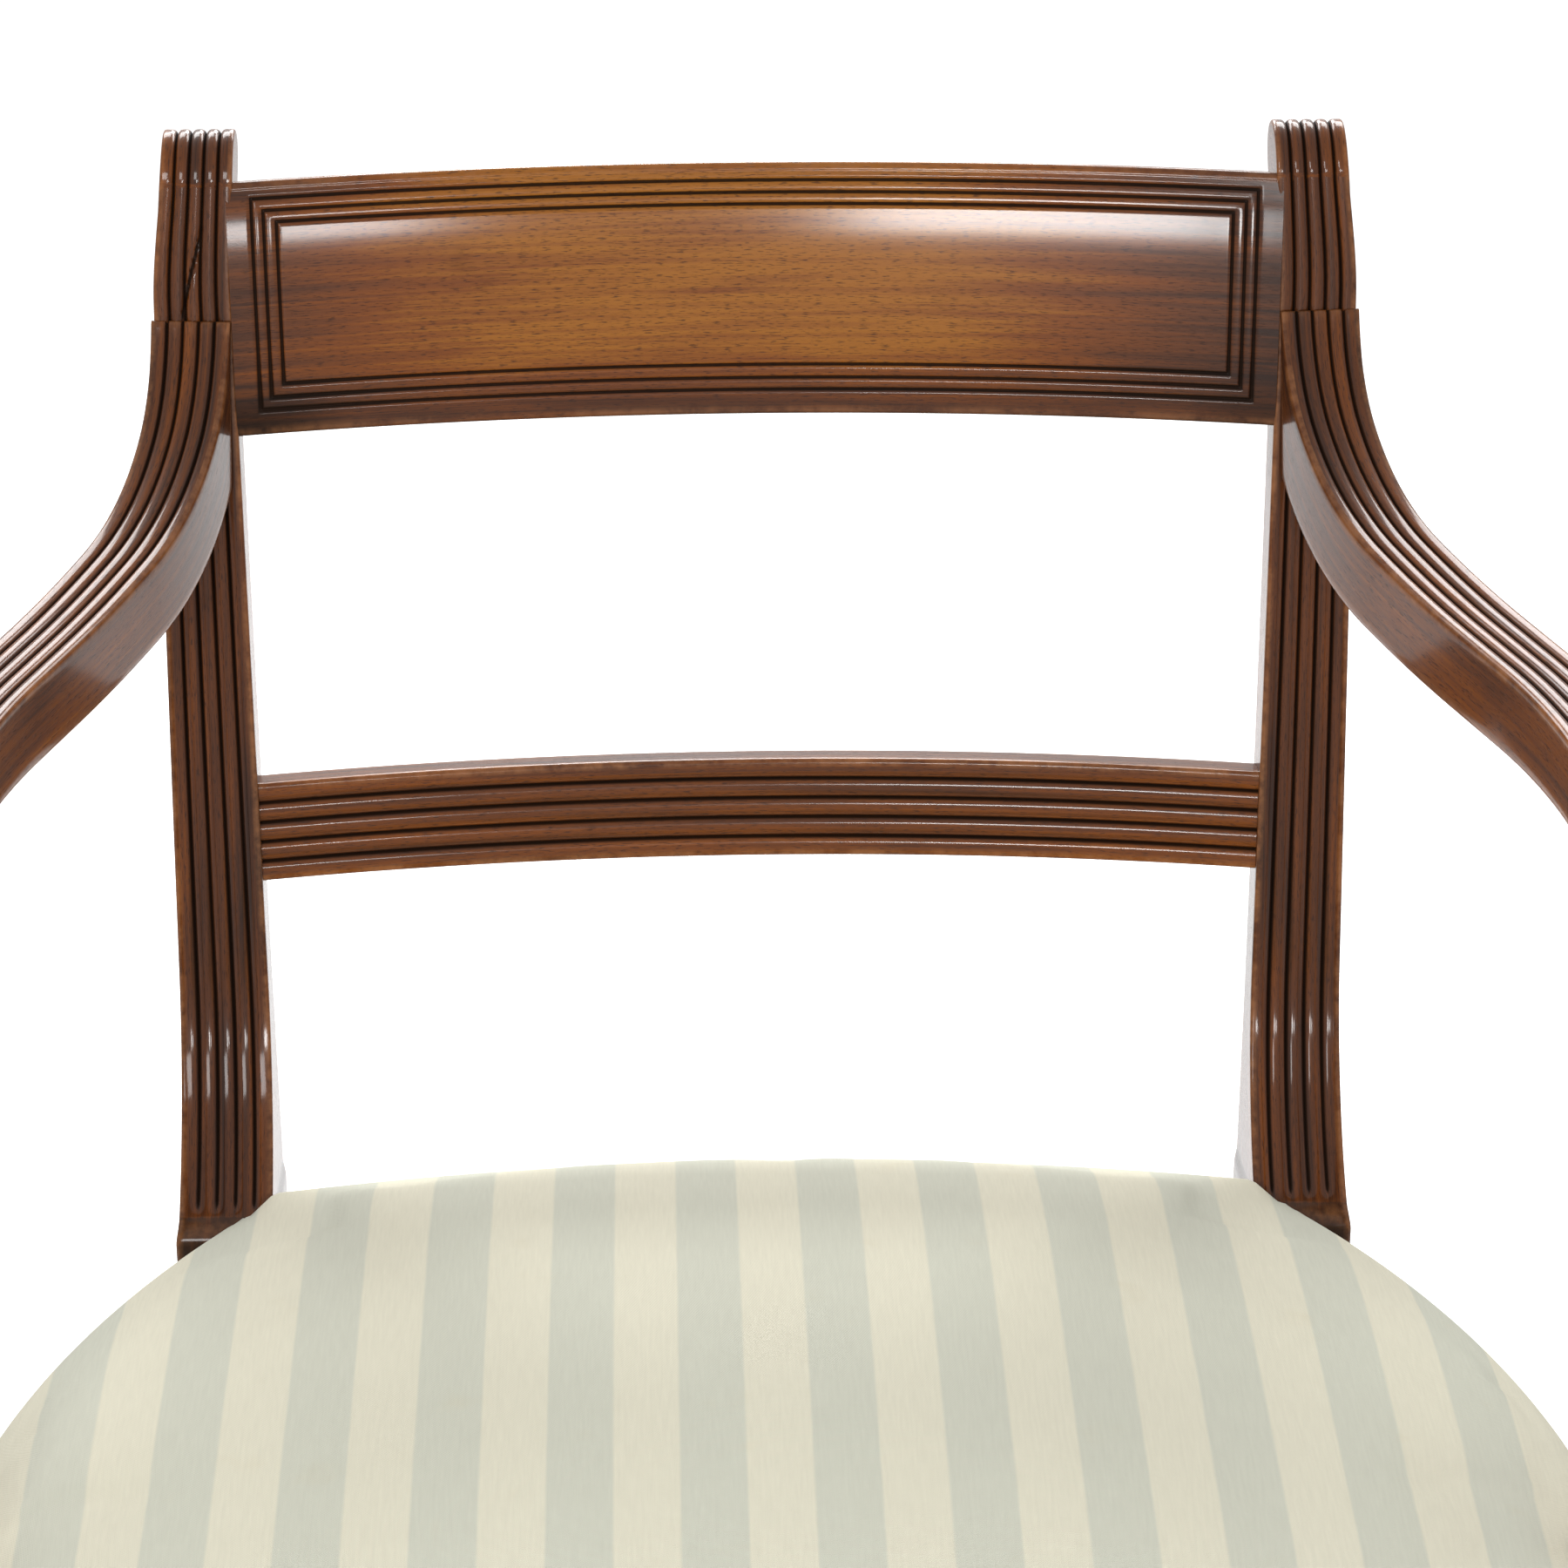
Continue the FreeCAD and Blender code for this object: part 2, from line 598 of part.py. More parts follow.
def seat_stuffing():
    """Domed pad between the base cloth and the cover."""
    floor_z = RAIL_TOP_Z + 2 * WEB_THICKNESS + SHEET_THICKNESS
    room = box(-400, 400, -500, 100, floor_z + 0.2, 520)
    return largest(seat_form(CLOTH_THICKNESS + 0.3).common(room).cut(cloth_clearance()))


def peg(start, direction, rings, sides):
    """Straight piece through many-sided rings, each a (distance, radius) pair."""
    aside = direction.cross(Vector(0.3, 0.2, 1)).normalize()
    up = direction.cross(aside).normalize()
    turns = [2 * math.pi * step / sides for step in range(sides)]
    corners = []
    for distance, radius in rings:
        centre = start + direction * distance
        ring = [centre + (aside * math.cos(turn) + up * math.sin(turn)) * radius for turn in turns]
        corners.append(ring + ring[:1])
    return stacked(corners)


def screw(head, direction, length):
    """Countersunk wood screw: its head's top is at head, its shank runs along direction."""
    rings = [(0, SCREW_HEAD_RADIUS), (2.2, SCREW_SHANK_RADIUS), (length, SCREW_SHANK_RADIUS / 2)]
    return peg(head, direction, rings, 6)


def tacks():
    """Square cut tacks along the lining's right edge, clear of the front leg and the post."""
    head_z = RAIL_BOTTOM_Z - 2 * SHEET_THICKNESS
    ring = seat_outline(SEAT_HEM_SCALE - 0.04, head_z)
    places = Part.makePolygon(ring[:len(ring) // 2]).discretize(Number=12)
    up = Vector(0, 0, 1)
    rings = [(-1, TACK_RADIUS / 2), (0, TACK_RADIUS), (0, TACK_RADIUS / 4), (TACK_LENGTH, TACK_RADIUS / 8)]
    pieces = []
    for place in places:
        on_leg = place.x > LEG_INNER_X - 8 and place.y < LEG_FRONT_Y + 44
        on_post = place.x > BLOCK_INNER_X - 8 and place.y > BLOCK_FRONT_Y - 8
        if not on_leg and not on_post:
            pieces.append(peg(place, up, rings, 4))
    return pieces


def save(name, shape):
    """Write one piece in the saved frame."""
    placed = shape.copy()
    placed.translate(Vector(0, ORIGIN_SHIFT_Y, 0))
    placed.exportStep(os.path.join("parts", name + ".step"))


def arm_joint_screw():
    """Screw through the right post into its arm, and the wooden plug behind it."""
    slope = math.atan2(post_face_y(ARM_SCREW_Z + 10) - post_face_y(ARM_SCREW_Z - 10), 20)
    forward = Vector(0, -math.cos(slope), math.sin(slope))
    face = Vector(BACK_HALF_WIDTH - ARM_WIDTH / 2, post_face_y(ARM_SCREW_Z), ARM_SCREW_Z)
    head = face - forward * ARM_SCREW_SINK
    plug = peg(head, forward * -1.0, [(0, PLUG_RADIUS), (PLUG_LENGTH, PLUG_RADIUS)], 12)
    return screw(head, forward, ARM_SCREW_LENGTH), plug


def support_screws():
    """Two screws from inside the right side rail into the arm support."""
    y = SUPPORT_FRONT_Y + SUPPORT_DEPTH / 2
    aim = Vector(1, 0, 0)
    return [screw(Vector(SUPPORT_SCREW_X, y, z), aim, RAIL_SCREW_LENGTH) for z in RAIL_SCREW_HEIGHTS]


def block_screws():
    """Screws of the right back and right front corner blocks, and the room behind each head."""
    z = CORNER_BLOCK_Z + CORNER_BLOCK_HEIGHT / 2
    aims = [(Vector(140, -16, z), Vector(0, 1, 0)), (Vector(189, -50, z), Vector(1, 0, 0)),
            (Vector(190, -338, z), Vector(0, -1, 0)), (Vector(233, -295, z), Vector(1, 0, 0))]
    screws = [screw(head, aim, BLOCK_SCREW_LENGTH) for head, aim in aims]
    room = [(0, SCREW_HEAD_RADIUS), (BLOCK_SCREW_ROOM, SCREW_HEAD_RADIUS)]
    rooms = [peg(head, aim * -1.0, room, 6) for head, aim in aims]
    return screws, rooms


def both(shapes):
    """A group of the right side's pieces and their mirror images."""
    return Part.makeCompound(shapes + [mirrored(shape) for shape in shapes])


def pair(name, shape):
    """Save a piece for the right side and its mirror image for the left."""
    save("right_" + name, shape)
    save("left_" + name, mirrored(shape))


def make_back(post):
    """Save the rails between the posts; return the tenons that enter the right post."""
    crest_tenon = rail_tenon(CREST_BOTTOM_Z + CREST_TENON_MARGINS[0], CREST_TOP_Z - CREST_TENON_MARGINS[1],
                             CREST_TENON_SETBACK, CREST_TENON_THICKNESS)
    mid_tenon = rail_tenon(MID_RAIL_BOTTOM_Z + MID_TENON_MARGIN,
                           MID_RAIL_BOTTOM_Z + MID_RAIL_HEIGHT - MID_TENON_MARGIN,
                           MID_TENON_SETBACK, MID_TENON_THICKNESS)
    save("crest_rail", shouldered(crest_blank(), post, crest_tenon))
    save("mid_rail", shouldered(mid_rail_blank(), post, mid_tenon))
    return [crest_tenon, mid_tenon]


def side_rail_blank(support):
    """Right side rail with both its tenons, notched for the arm support."""
    rail = rail_ring(RAIL_TOP_Z + WEB_THICKNESS)
    rail = rail.common(box(150, 400, LEG_FRONT_Y + LEG_BLOCK_DEPTH, BLOCK_FRONT_Y, 300, 500))
    return rail.fuse([tenon(SIDE_BACK_TENON), tenon(SIDE_FRONT_TENON)]).cut(support)


def cross_rail(half_length, y_from, y_to, tenon_spans):
    """Back or front rail with a tenon at each end."""
    rail = rail_ring(RAIL_TOP_Z).common(box(-half_length, half_length, y_from, y_to, 300, 500))
    end = tenon(tenon_spans)
    return rail.fuse([end, mirrored(end)])


def make_seat_frame(post, leg, side_rail, tack_group):
    """Save the seat's rails, corner blocks and their screws."""
    back_rail = cross_rail(BLOCK_INNER_X, BLOCK_FRONT_Y, 100, BACK_TENON)
    front_rail = cross_rail(LEG_BLOCK_INNER_X, -500, LEG_FRONT_Y + LEG_BLOCK_DEPTH, FRONT_TENON)
    screws, rooms = block_screws()
    all_screws = both(screws)
    back_block = corner_block(BACK_BLOCK_CORNERS, [post, side_rail, back_rail])
    front_block = corner_block(FRONT_BLOCK_CORNERS, [leg, side_rail, front_rail])
    pair("seat_rail", tidy(side_rail.cut([all_screws, tack_group])))
    pair("back_corner_block", tidy(back_block.cut(screws + rooms)))
    pair("front_corner_block", tidy(front_block.cut(screws + rooms)))
    save("back_seat_rail", tidy(back_rail.cut([all_screws, tack_group])))
    save("front_seat_rail", tidy(front_rail.cut([all_screws, tack_group])))
    save("corner_block_screws", all_screws)


def base_cloth(z_from, obstacles):
    """Flat cloth over the whole frame, cut round what passes through it."""
    sheet = frame_prism(FRAME_INSET + 3, z_from, z_from + SHEET_THICKNESS)
    return largest(sheet.cut(cloth_clearance() + obstacles))


def make_seat(post, leg, tack_group):
    """Save the seat's webbing, cloths, stuffing and cover."""
    legs = [leg, mirrored(leg)]
    lengthwise = webbing(spans(LENGTHWISE_WEBS_X, WEB_WIDTH), [(-500, 100)], RAIL_TOP_Z)
    crosswise = webbing([(-400, 400)], spans(CROSSWISE_WEBS_Y, WEB_WIDTH), RAIL_TOP_Z + WEB_THICKNESS)
    lining = base_cloth(RAIL_BOTTOM_Z - 2 * SHEET_THICKNESS, legs + [post, mirrored(post)])
    save("seat_webbing_lengthwise", lengthwise)
    save("seat_webbing_crosswise", crosswise)
    save("seat_hessian", base_cloth(RAIL_TOP_Z + 2 * WEB_THICKNESS, []))
    save("seat_stuffing", seat_stuffing())
    save("seat_cover", tidy(seat_cover(legs).cut(tack_group)))
    save("bottom_lining", tidy(lining.cut(tack_group)))


def main():
    """Make every piece and save it."""
    os.makedirs("parts", exist_ok=True)
    post = back_post()
    leg = front_leg()
    arm = largest(arm_blank().cut(behind_arm_housing()))
    support = largest(support_blank().cut(arm)).fuse(support_tenon())
    arm_screw, plug = arm_joint_screw()
    rail_screws = support_screws()
    tack_group = both(tacks())

    back_tenons = make_back(post)
    side_rail = side_rail_blank(support).cut(rail_screws)
    make_seat_frame(post, leg, side_rail, tack_group)
    make_seat(post, leg, tack_group)
    post_mortices = back_tenons + [tenon(SIDE_BACK_TENON), tenon(BACK_TENON)]
    pair("back_post", tidy(post.cut(post_mortices + [arm, arm_screw, plug])))
    pair("arm", tidy(arm.cut([arm_screw, support])))
    pair("arm_support", tidy(support.cut(rail_screws)))
    pair("front_leg", tidy(leg.cut([tenon(SIDE_FRONT_TENON), tenon(FRONT_TENON)])))
    save("lining_tacks", tack_group)
    save("arm_joint_screws", both([arm_screw]))
    save("arm_joint_plugs", both([plug]))
    save("arm_support_screws", both(rail_screws))


main()
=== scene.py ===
"""Carver chair: reeded mahogany frame and a striped, stuffed-over seat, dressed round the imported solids.

Shapes are worked out in millimetres, with y counted from the stops of the back posts' reeds, and go into
the meshes in metres, in the chair's own frame. Bars are worked out for the right side and mirrored.
"""

import logging
import math
from dataclasses import dataclass
from enum import Enum

import bmesh
import bpy
import numpy as np
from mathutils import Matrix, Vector


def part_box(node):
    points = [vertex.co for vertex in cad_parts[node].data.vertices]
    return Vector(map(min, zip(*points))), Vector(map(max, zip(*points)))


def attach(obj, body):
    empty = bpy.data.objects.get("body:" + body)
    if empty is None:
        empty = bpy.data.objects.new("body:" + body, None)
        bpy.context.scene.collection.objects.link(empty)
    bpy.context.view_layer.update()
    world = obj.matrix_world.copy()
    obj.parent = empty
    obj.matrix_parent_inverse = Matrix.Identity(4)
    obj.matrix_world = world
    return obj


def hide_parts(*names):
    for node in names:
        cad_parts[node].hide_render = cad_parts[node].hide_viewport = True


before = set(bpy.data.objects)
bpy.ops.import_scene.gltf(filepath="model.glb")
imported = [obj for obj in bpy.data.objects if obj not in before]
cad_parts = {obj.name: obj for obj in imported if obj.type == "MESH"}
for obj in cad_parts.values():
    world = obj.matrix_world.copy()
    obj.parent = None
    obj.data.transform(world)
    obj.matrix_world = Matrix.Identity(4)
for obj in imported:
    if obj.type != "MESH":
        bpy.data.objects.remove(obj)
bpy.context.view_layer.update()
LOG = logging.getLogger("carver_chair")

Array = np.ndarray
Mesh, Piece = bpy.types.Mesh, bpy.types.Object
Node, Socket, Tree = bpy.types.Node, bpy.types.NodeSocket, bpy.types.NodeTree
Pair = tuple[float, float]
Place = tuple[float, float, float]
Colour = tuple[float, float, float, float]
Bends = tuple[Pair, ...]
Faces = list[list[int]]
MM = 0.001
ORIGIN_SHIFT = np.array([0.0, 131.05, 0.0])
BACK_HALF_WIDTH = 220.0
REEDS = 5
REED_SINK = 1.9
SCROLL_RADIUS = 17.0
SCROLL_PROUD = 0.25
SIDE_GRAIN_STEP = 0.37
QUARTER = np.linspace(0, np.pi / 2, 5)
BAR_CREASE = 38.0
CLOTH_CREASE = 50.0
COVER_CREASE = 70.0
PLAN_STEPS = 2000
CLOTH_FRAMES = 20


class Side(Enum):
    """Which side of the chair a bar stands on, as the sign of its x."""

    LEFT = -1
    RIGHT = 1

    def named(self, piece: str) -> str:
        """Name of this side's piece."""
        return f"{self.name.lower()}_{piece}"


class GrainFrom(Enum):
    """Where a wood finish reads the direction of its grain."""

    BAR = "the bar's own length"
    OBJECT = "the chair's frame"


def walk(start: Pair, heading: float, bends: Bends, distance: Array) -> tuple[Array, Array, Array]:
    """Walk along a chain of arcs; each arc's chord is its run times sin(half turn) / (half turn).

    Args:
        start: first point in the plane.
        heading: first direction, in degrees.
        bends: arcs as pairs of a length and a turn in degrees.
        distance: distances walked.

    Returns:
        Both coordinates and the direction in radians at each distance.
    """
    left = np.asarray(distance, float)
    u, v = np.full(left.shape, start[0]), np.full(left.shape, start[1])
    angle = np.full(left.shape, math.radians(heading))
    for length, turn in bends:
        run = np.clip(left, 0, length)
        half = math.radians(turn) * run / length / 2
        chord = run * np.sinc(half / np.pi)
        u, v = u + chord * np.cos(angle + half), v + chord * np.sin(angle + half)
        angle, left = angle + 2 * half, left - run
    return u, v, angle


def arc_through(first: Pair, via: Pair, last: Pair, count: int) -> Array:
    """Points on the circle through three points: the centre solves two equations of equal distance.

    Args:
        first, via, last: the three points, in the plane.
        count: how many points to give, both ends among them.

    Returns:
        Points as rows.
    """
    a, b, c = (np.array(point) for point in (first, via, last))
    centre = np.linalg.solve(2 * np.array([b - a, c - a]), [b @ b - a @ a, c @ c - a @ a])
    angles = np.unwrap([math.atan2(*(point - centre)[::-1]) for point in (a, b, c)])
    turn = np.linspace(angles[0], angles[2], count)
    return centre + np.linalg.norm(a - centre) * np.column_stack([np.cos(turn), np.sin(turn)])


def smooth(share: Array) -> Array:
    """Ease from 0 to 1: 3 t squared less 2 t cubed, held outside."""
    t = np.clip(share, 0, 1)
    return t * t * (3 - 2 * t)


def unit(vectors: Array) -> Array:
    """Vectors brought to length 1 along their last axis."""
    return vectors / np.linalg.norm(vectors, axis=-1, keepdims=True)


def column(*parts: Array | float) -> Array:
    """Coordinates of one shape, stacked as the last axis."""
    return np.stack(np.broadcast_arrays(*parts), -1).astype(float)


@dataclass
class Skin:
    """A closed skin on a grid of rows and columns, with its grain direction, marks of age and painted light.

    The columns close round; the first and last rows are closed by flat ends. Marks are shares of hollow,
    of wear with painted sheen on arrises, and of tone that is partly bleaching and partly painted light.
    """

    points: Array
    grain: Array
    marks: Array

    def mirrored(self, side: Side) -> "Skin":
        """The same skin on the given side, with another stretch of grain."""
        flip = np.array([side.value, 1, 1])
        return Skin(self.points * flip, self.grain + SIDE_GRAIN_STEP * side.value, self.marks)

    def faces(self, first: int) -> Faces:
        """Faces that point outwards: turned round where the enclosed volume comes out negative.

        Args:
            first: index of this skin's first vertex in the mesh.

        Returns:
            Faces as lists of vertex indices.
        """
        rows, cols = self.points.shape[:2]
        index = np.arange(rows * cols).reshape(rows, cols)
        ring = np.hstack([index, index[:, :1]])
        quads = np.stack([ring[:-1, :-1], ring[:-1, 1:], ring[1:, 1:], ring[1:, :-1]], -1)
        quads = quads.reshape(-1, 4)
        p = (self.points - self.points.mean((0, 1))).reshape(-1, 3)[quads]
        volume = np.einsum("ij,ij->", p[:, 0], np.cross(p[:, 1], p[:, 2]) + np.cross(p[:, 2], p[:, 3]))
        found = quads.tolist() + [index[0][::-1].tolist(), index[-1].tolist()]
        turned = [face[::-1] for face in found] if volume < 0 else found
        return [[corner + first for corner in face] for face in turned]


def along(points: Array) -> Array:
    """Distance walked along rows of points."""
    return np.concatenate([[0], np.cumsum(np.linalg.norm(np.diff(points, axis=0), axis=1))])


def link_piece(name: str, mesh: Mesh, finish: "Finish") -> Piece:
    """Put a mesh into the scene as a finished piece that rides on the chair.

    Args:
        name: name of the solid that it stands for.
        mesh: its mesh, in metres in the chair's frame.
        finish: what it is made of.

    Returns:
        The new object.
    """
    piece = bpy.data.objects.new(name + "_dressed", mesh)
    bpy.context.scene.collection.objects.link(piece)
    mesh.materials.append(finish.material())
    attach(piece, "root")
    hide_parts(name)
    LOG.info("%s: %d faces of %s", name, len(mesh.polygons), finish.slot)
    return piece


def write_mesh(name: str, points: Array, faces: Faces, grain: Array, marks: Array, crease: float) -> Mesh:
    """Make a mesh with its grain and patina attributes.

    Args:
        name: name of the mesh.
        points, grain, marks: one row each per vertex, points and grain in millimetres.
        faces: lists of vertex indices.
        crease: angle in degrees past which an edge stays sharp.

    Returns:
        The mesh.
    """
    mesh = bpy.data.meshes.new(name)
    mesh.from_pydata(((points + ORIGIN_SHIFT) * MM).tolist(), [], faces)
    mesh.attributes.new("grain", "FLOAT_VECTOR", "POINT").data.foreach_set("vector", (grain * MM).ravel())
    colours = np.column_stack([marks, np.ones(len(marks))])
    mesh.attributes.new("patina_and_light", "FLOAT_COLOR", "POINT").data.foreach_set("color", colours.ravel())
    mesh.shade_smooth()
    mesh.set_sharp_from_angle(angle=math.radians(crease))
    return mesh


def make_bar(name: str, skins: list[Skin], finish: "Finish") -> Piece:
    """Make one piece out of its skins.

    Args:
        name: name of the solid that it stands for.
        skins: its closed skins.
        finish: what it is made of.

    Returns:
        The new object.
    """
    starts = np.cumsum([0] + [skin.points.size // 3 for skin in skins])
    faces = [face for skin, first in zip(skins, starts) for face in skin.faces(int(first))]
    points, grain, marks = (np.vstack([getattr(skin, part).reshape(-1, 3) for skin in skins])
                            for part in ("points", "grain", "marks"))
    return link_piece(name, write_mesh(name, points, faces, grain, marks, BAR_CREASE), finish)


@dataclass(frozen=True)
class BarSection:
    """Section of a reeded bar: five flat-topped reeds on its face, plain sides and back, eased arrises."""

    outer_ease: float = 1.1
    inner_ease: float = 1.1
    back_ease: float = 1.8
    fullness: float = 4.0
    # share that shifts the tone: partly bleaching, partly painted light and shade
    bleach_and_light: float = 0.3
    steps: int = 11
    flank: float = 0.3
    side_edge: float = 2.0
    back_worn: float = 0.8
    thin: float = 12.0
    rim: Place = (2.0, 9.0, 14.5)

    def face_columns(self) -> Array:
        """The face from the outer to the inner arris.

        Across a reed that runs from 0 to 1, the depth is the sink times |2 q - 1| to the power fullness;
        the two outer flanks stay flat, and each arris is a quarter circle.

        Returns:
            Rows of share and shift across, share and shift inward, hollow, and wear with painted sheen.
        """
        steps = (1 - np.cos(np.pi * np.arange(self.steps) / self.steps)) / 2
        reeds = np.append((np.arange(REEDS)[:, None] + steps).ravel(), REEDS)
        reeds = reeds[(reeds > self.flank) & (reeds < REEDS - self.flank)]
        inside = (reeds > 0.5) & (reeds < REEDS - 0.5)
        hollow = np.where(inside, np.abs(2 * (reeds % 1) - 1) ** self.fullness, 0)
        outer, inner = self.outer_ease, self.inner_ease
        return np.vstack([
            column(0, outer - outer * np.cos(QUARTER), 0, outer - outer * np.sin(QUARTER), 0, 1),
            column(reeds / REEDS, 0, 0, 0, hollow, 0),
            column(1, inner * np.sin(QUARTER) - inner, 0, inner - inner * np.cos(QUARTER), 0, 1),
        ])

    def columns(self) -> Array:
        """The whole section: the face, then the inner side, the back and the outer side.

        Returns:
            Rows like those of the face.
        """
        back = self.back_ease
        share = np.array([0, 0.5, 1])
        inner, outer = (np.array([ease + self.side_edge, 0, -back - self.side_edge])
                        for ease in (self.inner_ease, self.outer_ease))
        return np.vstack([
            self.face_columns(),
            column(1, 0, share, inner, 0, 0),
            column(1, back * np.cos(QUARTER) - back, 1, back * np.sin(QUARTER) - back, 0, self.back_worn),
            column(0.5, 0, 1, 0, 0, 0)[None],
            column(0, back - back * np.sin(QUARTER), 1, back * np.cos(QUARTER) - back, 0, self.back_worn),
            column(0, 0, share, outer, 0, 0)[::-1],
        ])

    def at_face(self) -> Array:
        """Which columns are placed from the face."""
        return self.columns()[:, 2] == 0

    def carry(self, corner: Array, across: Array, inward: Array, width: Array, depth: Array, sink: Array,
              travel: Array) -> Skin:
        """Carry the section along a path: point = corner + across times a + inward times d.

        Args:
            corner: outer corner of the face at each row.
            across, inward: directions at each row.
            width, depth: size of the section at each row.
            sink: depth of the grooves at each row.
            travel: length along the bar at each row.

        Returns:
            The skin.
        """
        share_a, shift_a, share_d, shift_d, hollow, worn_and_lit = self.columns().T
        fit = np.minimum(1, depth / self.thin)[:, None]
        a = width[:, None] * share_a + shift_a * fit
        d = depth[:, None] * share_d + shift_d * fit + sink[:, None] * hollow
        points = corner[:, None] + a[..., None] * across[:, None] + d[..., None] * inward[:, None]
        grain = column(travel[:, None], a, d)
        marks = column(hollow * sink[:, None] / REED_SINK, worn_and_lit, self.bleach_and_light)
        return Skin(points, grain, marks)

    def scroll(self, corner: Array, across: Array, inward: Array, forward: Array, width: float) -> Skin:
        """Roll the face round an axis under it: each face point keeps its depth as it turns.

        Args:
            corner, across, inward, forward: frame of the bar's last section.
            width: width of the bar there; the roll is a little wider.

        Returns:
            The skin, whose rows run across the roll and whose columns run round it.
        """
        share_a, shift_a, _, shift_d, hollow, worn_and_lit = self.face_columns().T
        a = (width + 2 * SCROLL_PROUD) * share_a + shift_a - SCROLL_PROUD
        radius = SCROLL_RADIUS + 0.1 - shift_d - REED_SINK * hollow
        extra = len(self.rim)
        a = np.concatenate([np.full(extra, -SCROLL_PROUD), a, np.full(extra, width + SCROLL_PROUD)])
        radius = np.concatenate([self.rim, radius, self.rim[::-1]])
        hollow, worn_and_lit = np.pad(hollow, extra), np.pad(worn_and_lit, extra)
        turn = np.linspace(0, 2 * np.pi, 80, endpoint=False)
        ray = -np.cos(turn)[:, None] * inward + np.sin(turn)[:, None] * forward
        axis = corner + inward * SCROLL_RADIUS
        points = axis + a[:, None, None] * across + radius[:, None, None] * ray
        grain = column(turn * SCROLL_RADIUS, a[:, None], radius[:, None])
        marks = column(hollow[:, None], worn_and_lit[:, None], np.full(len(turn), self.bleach_and_light))
        return Skin(points, grain, marks)


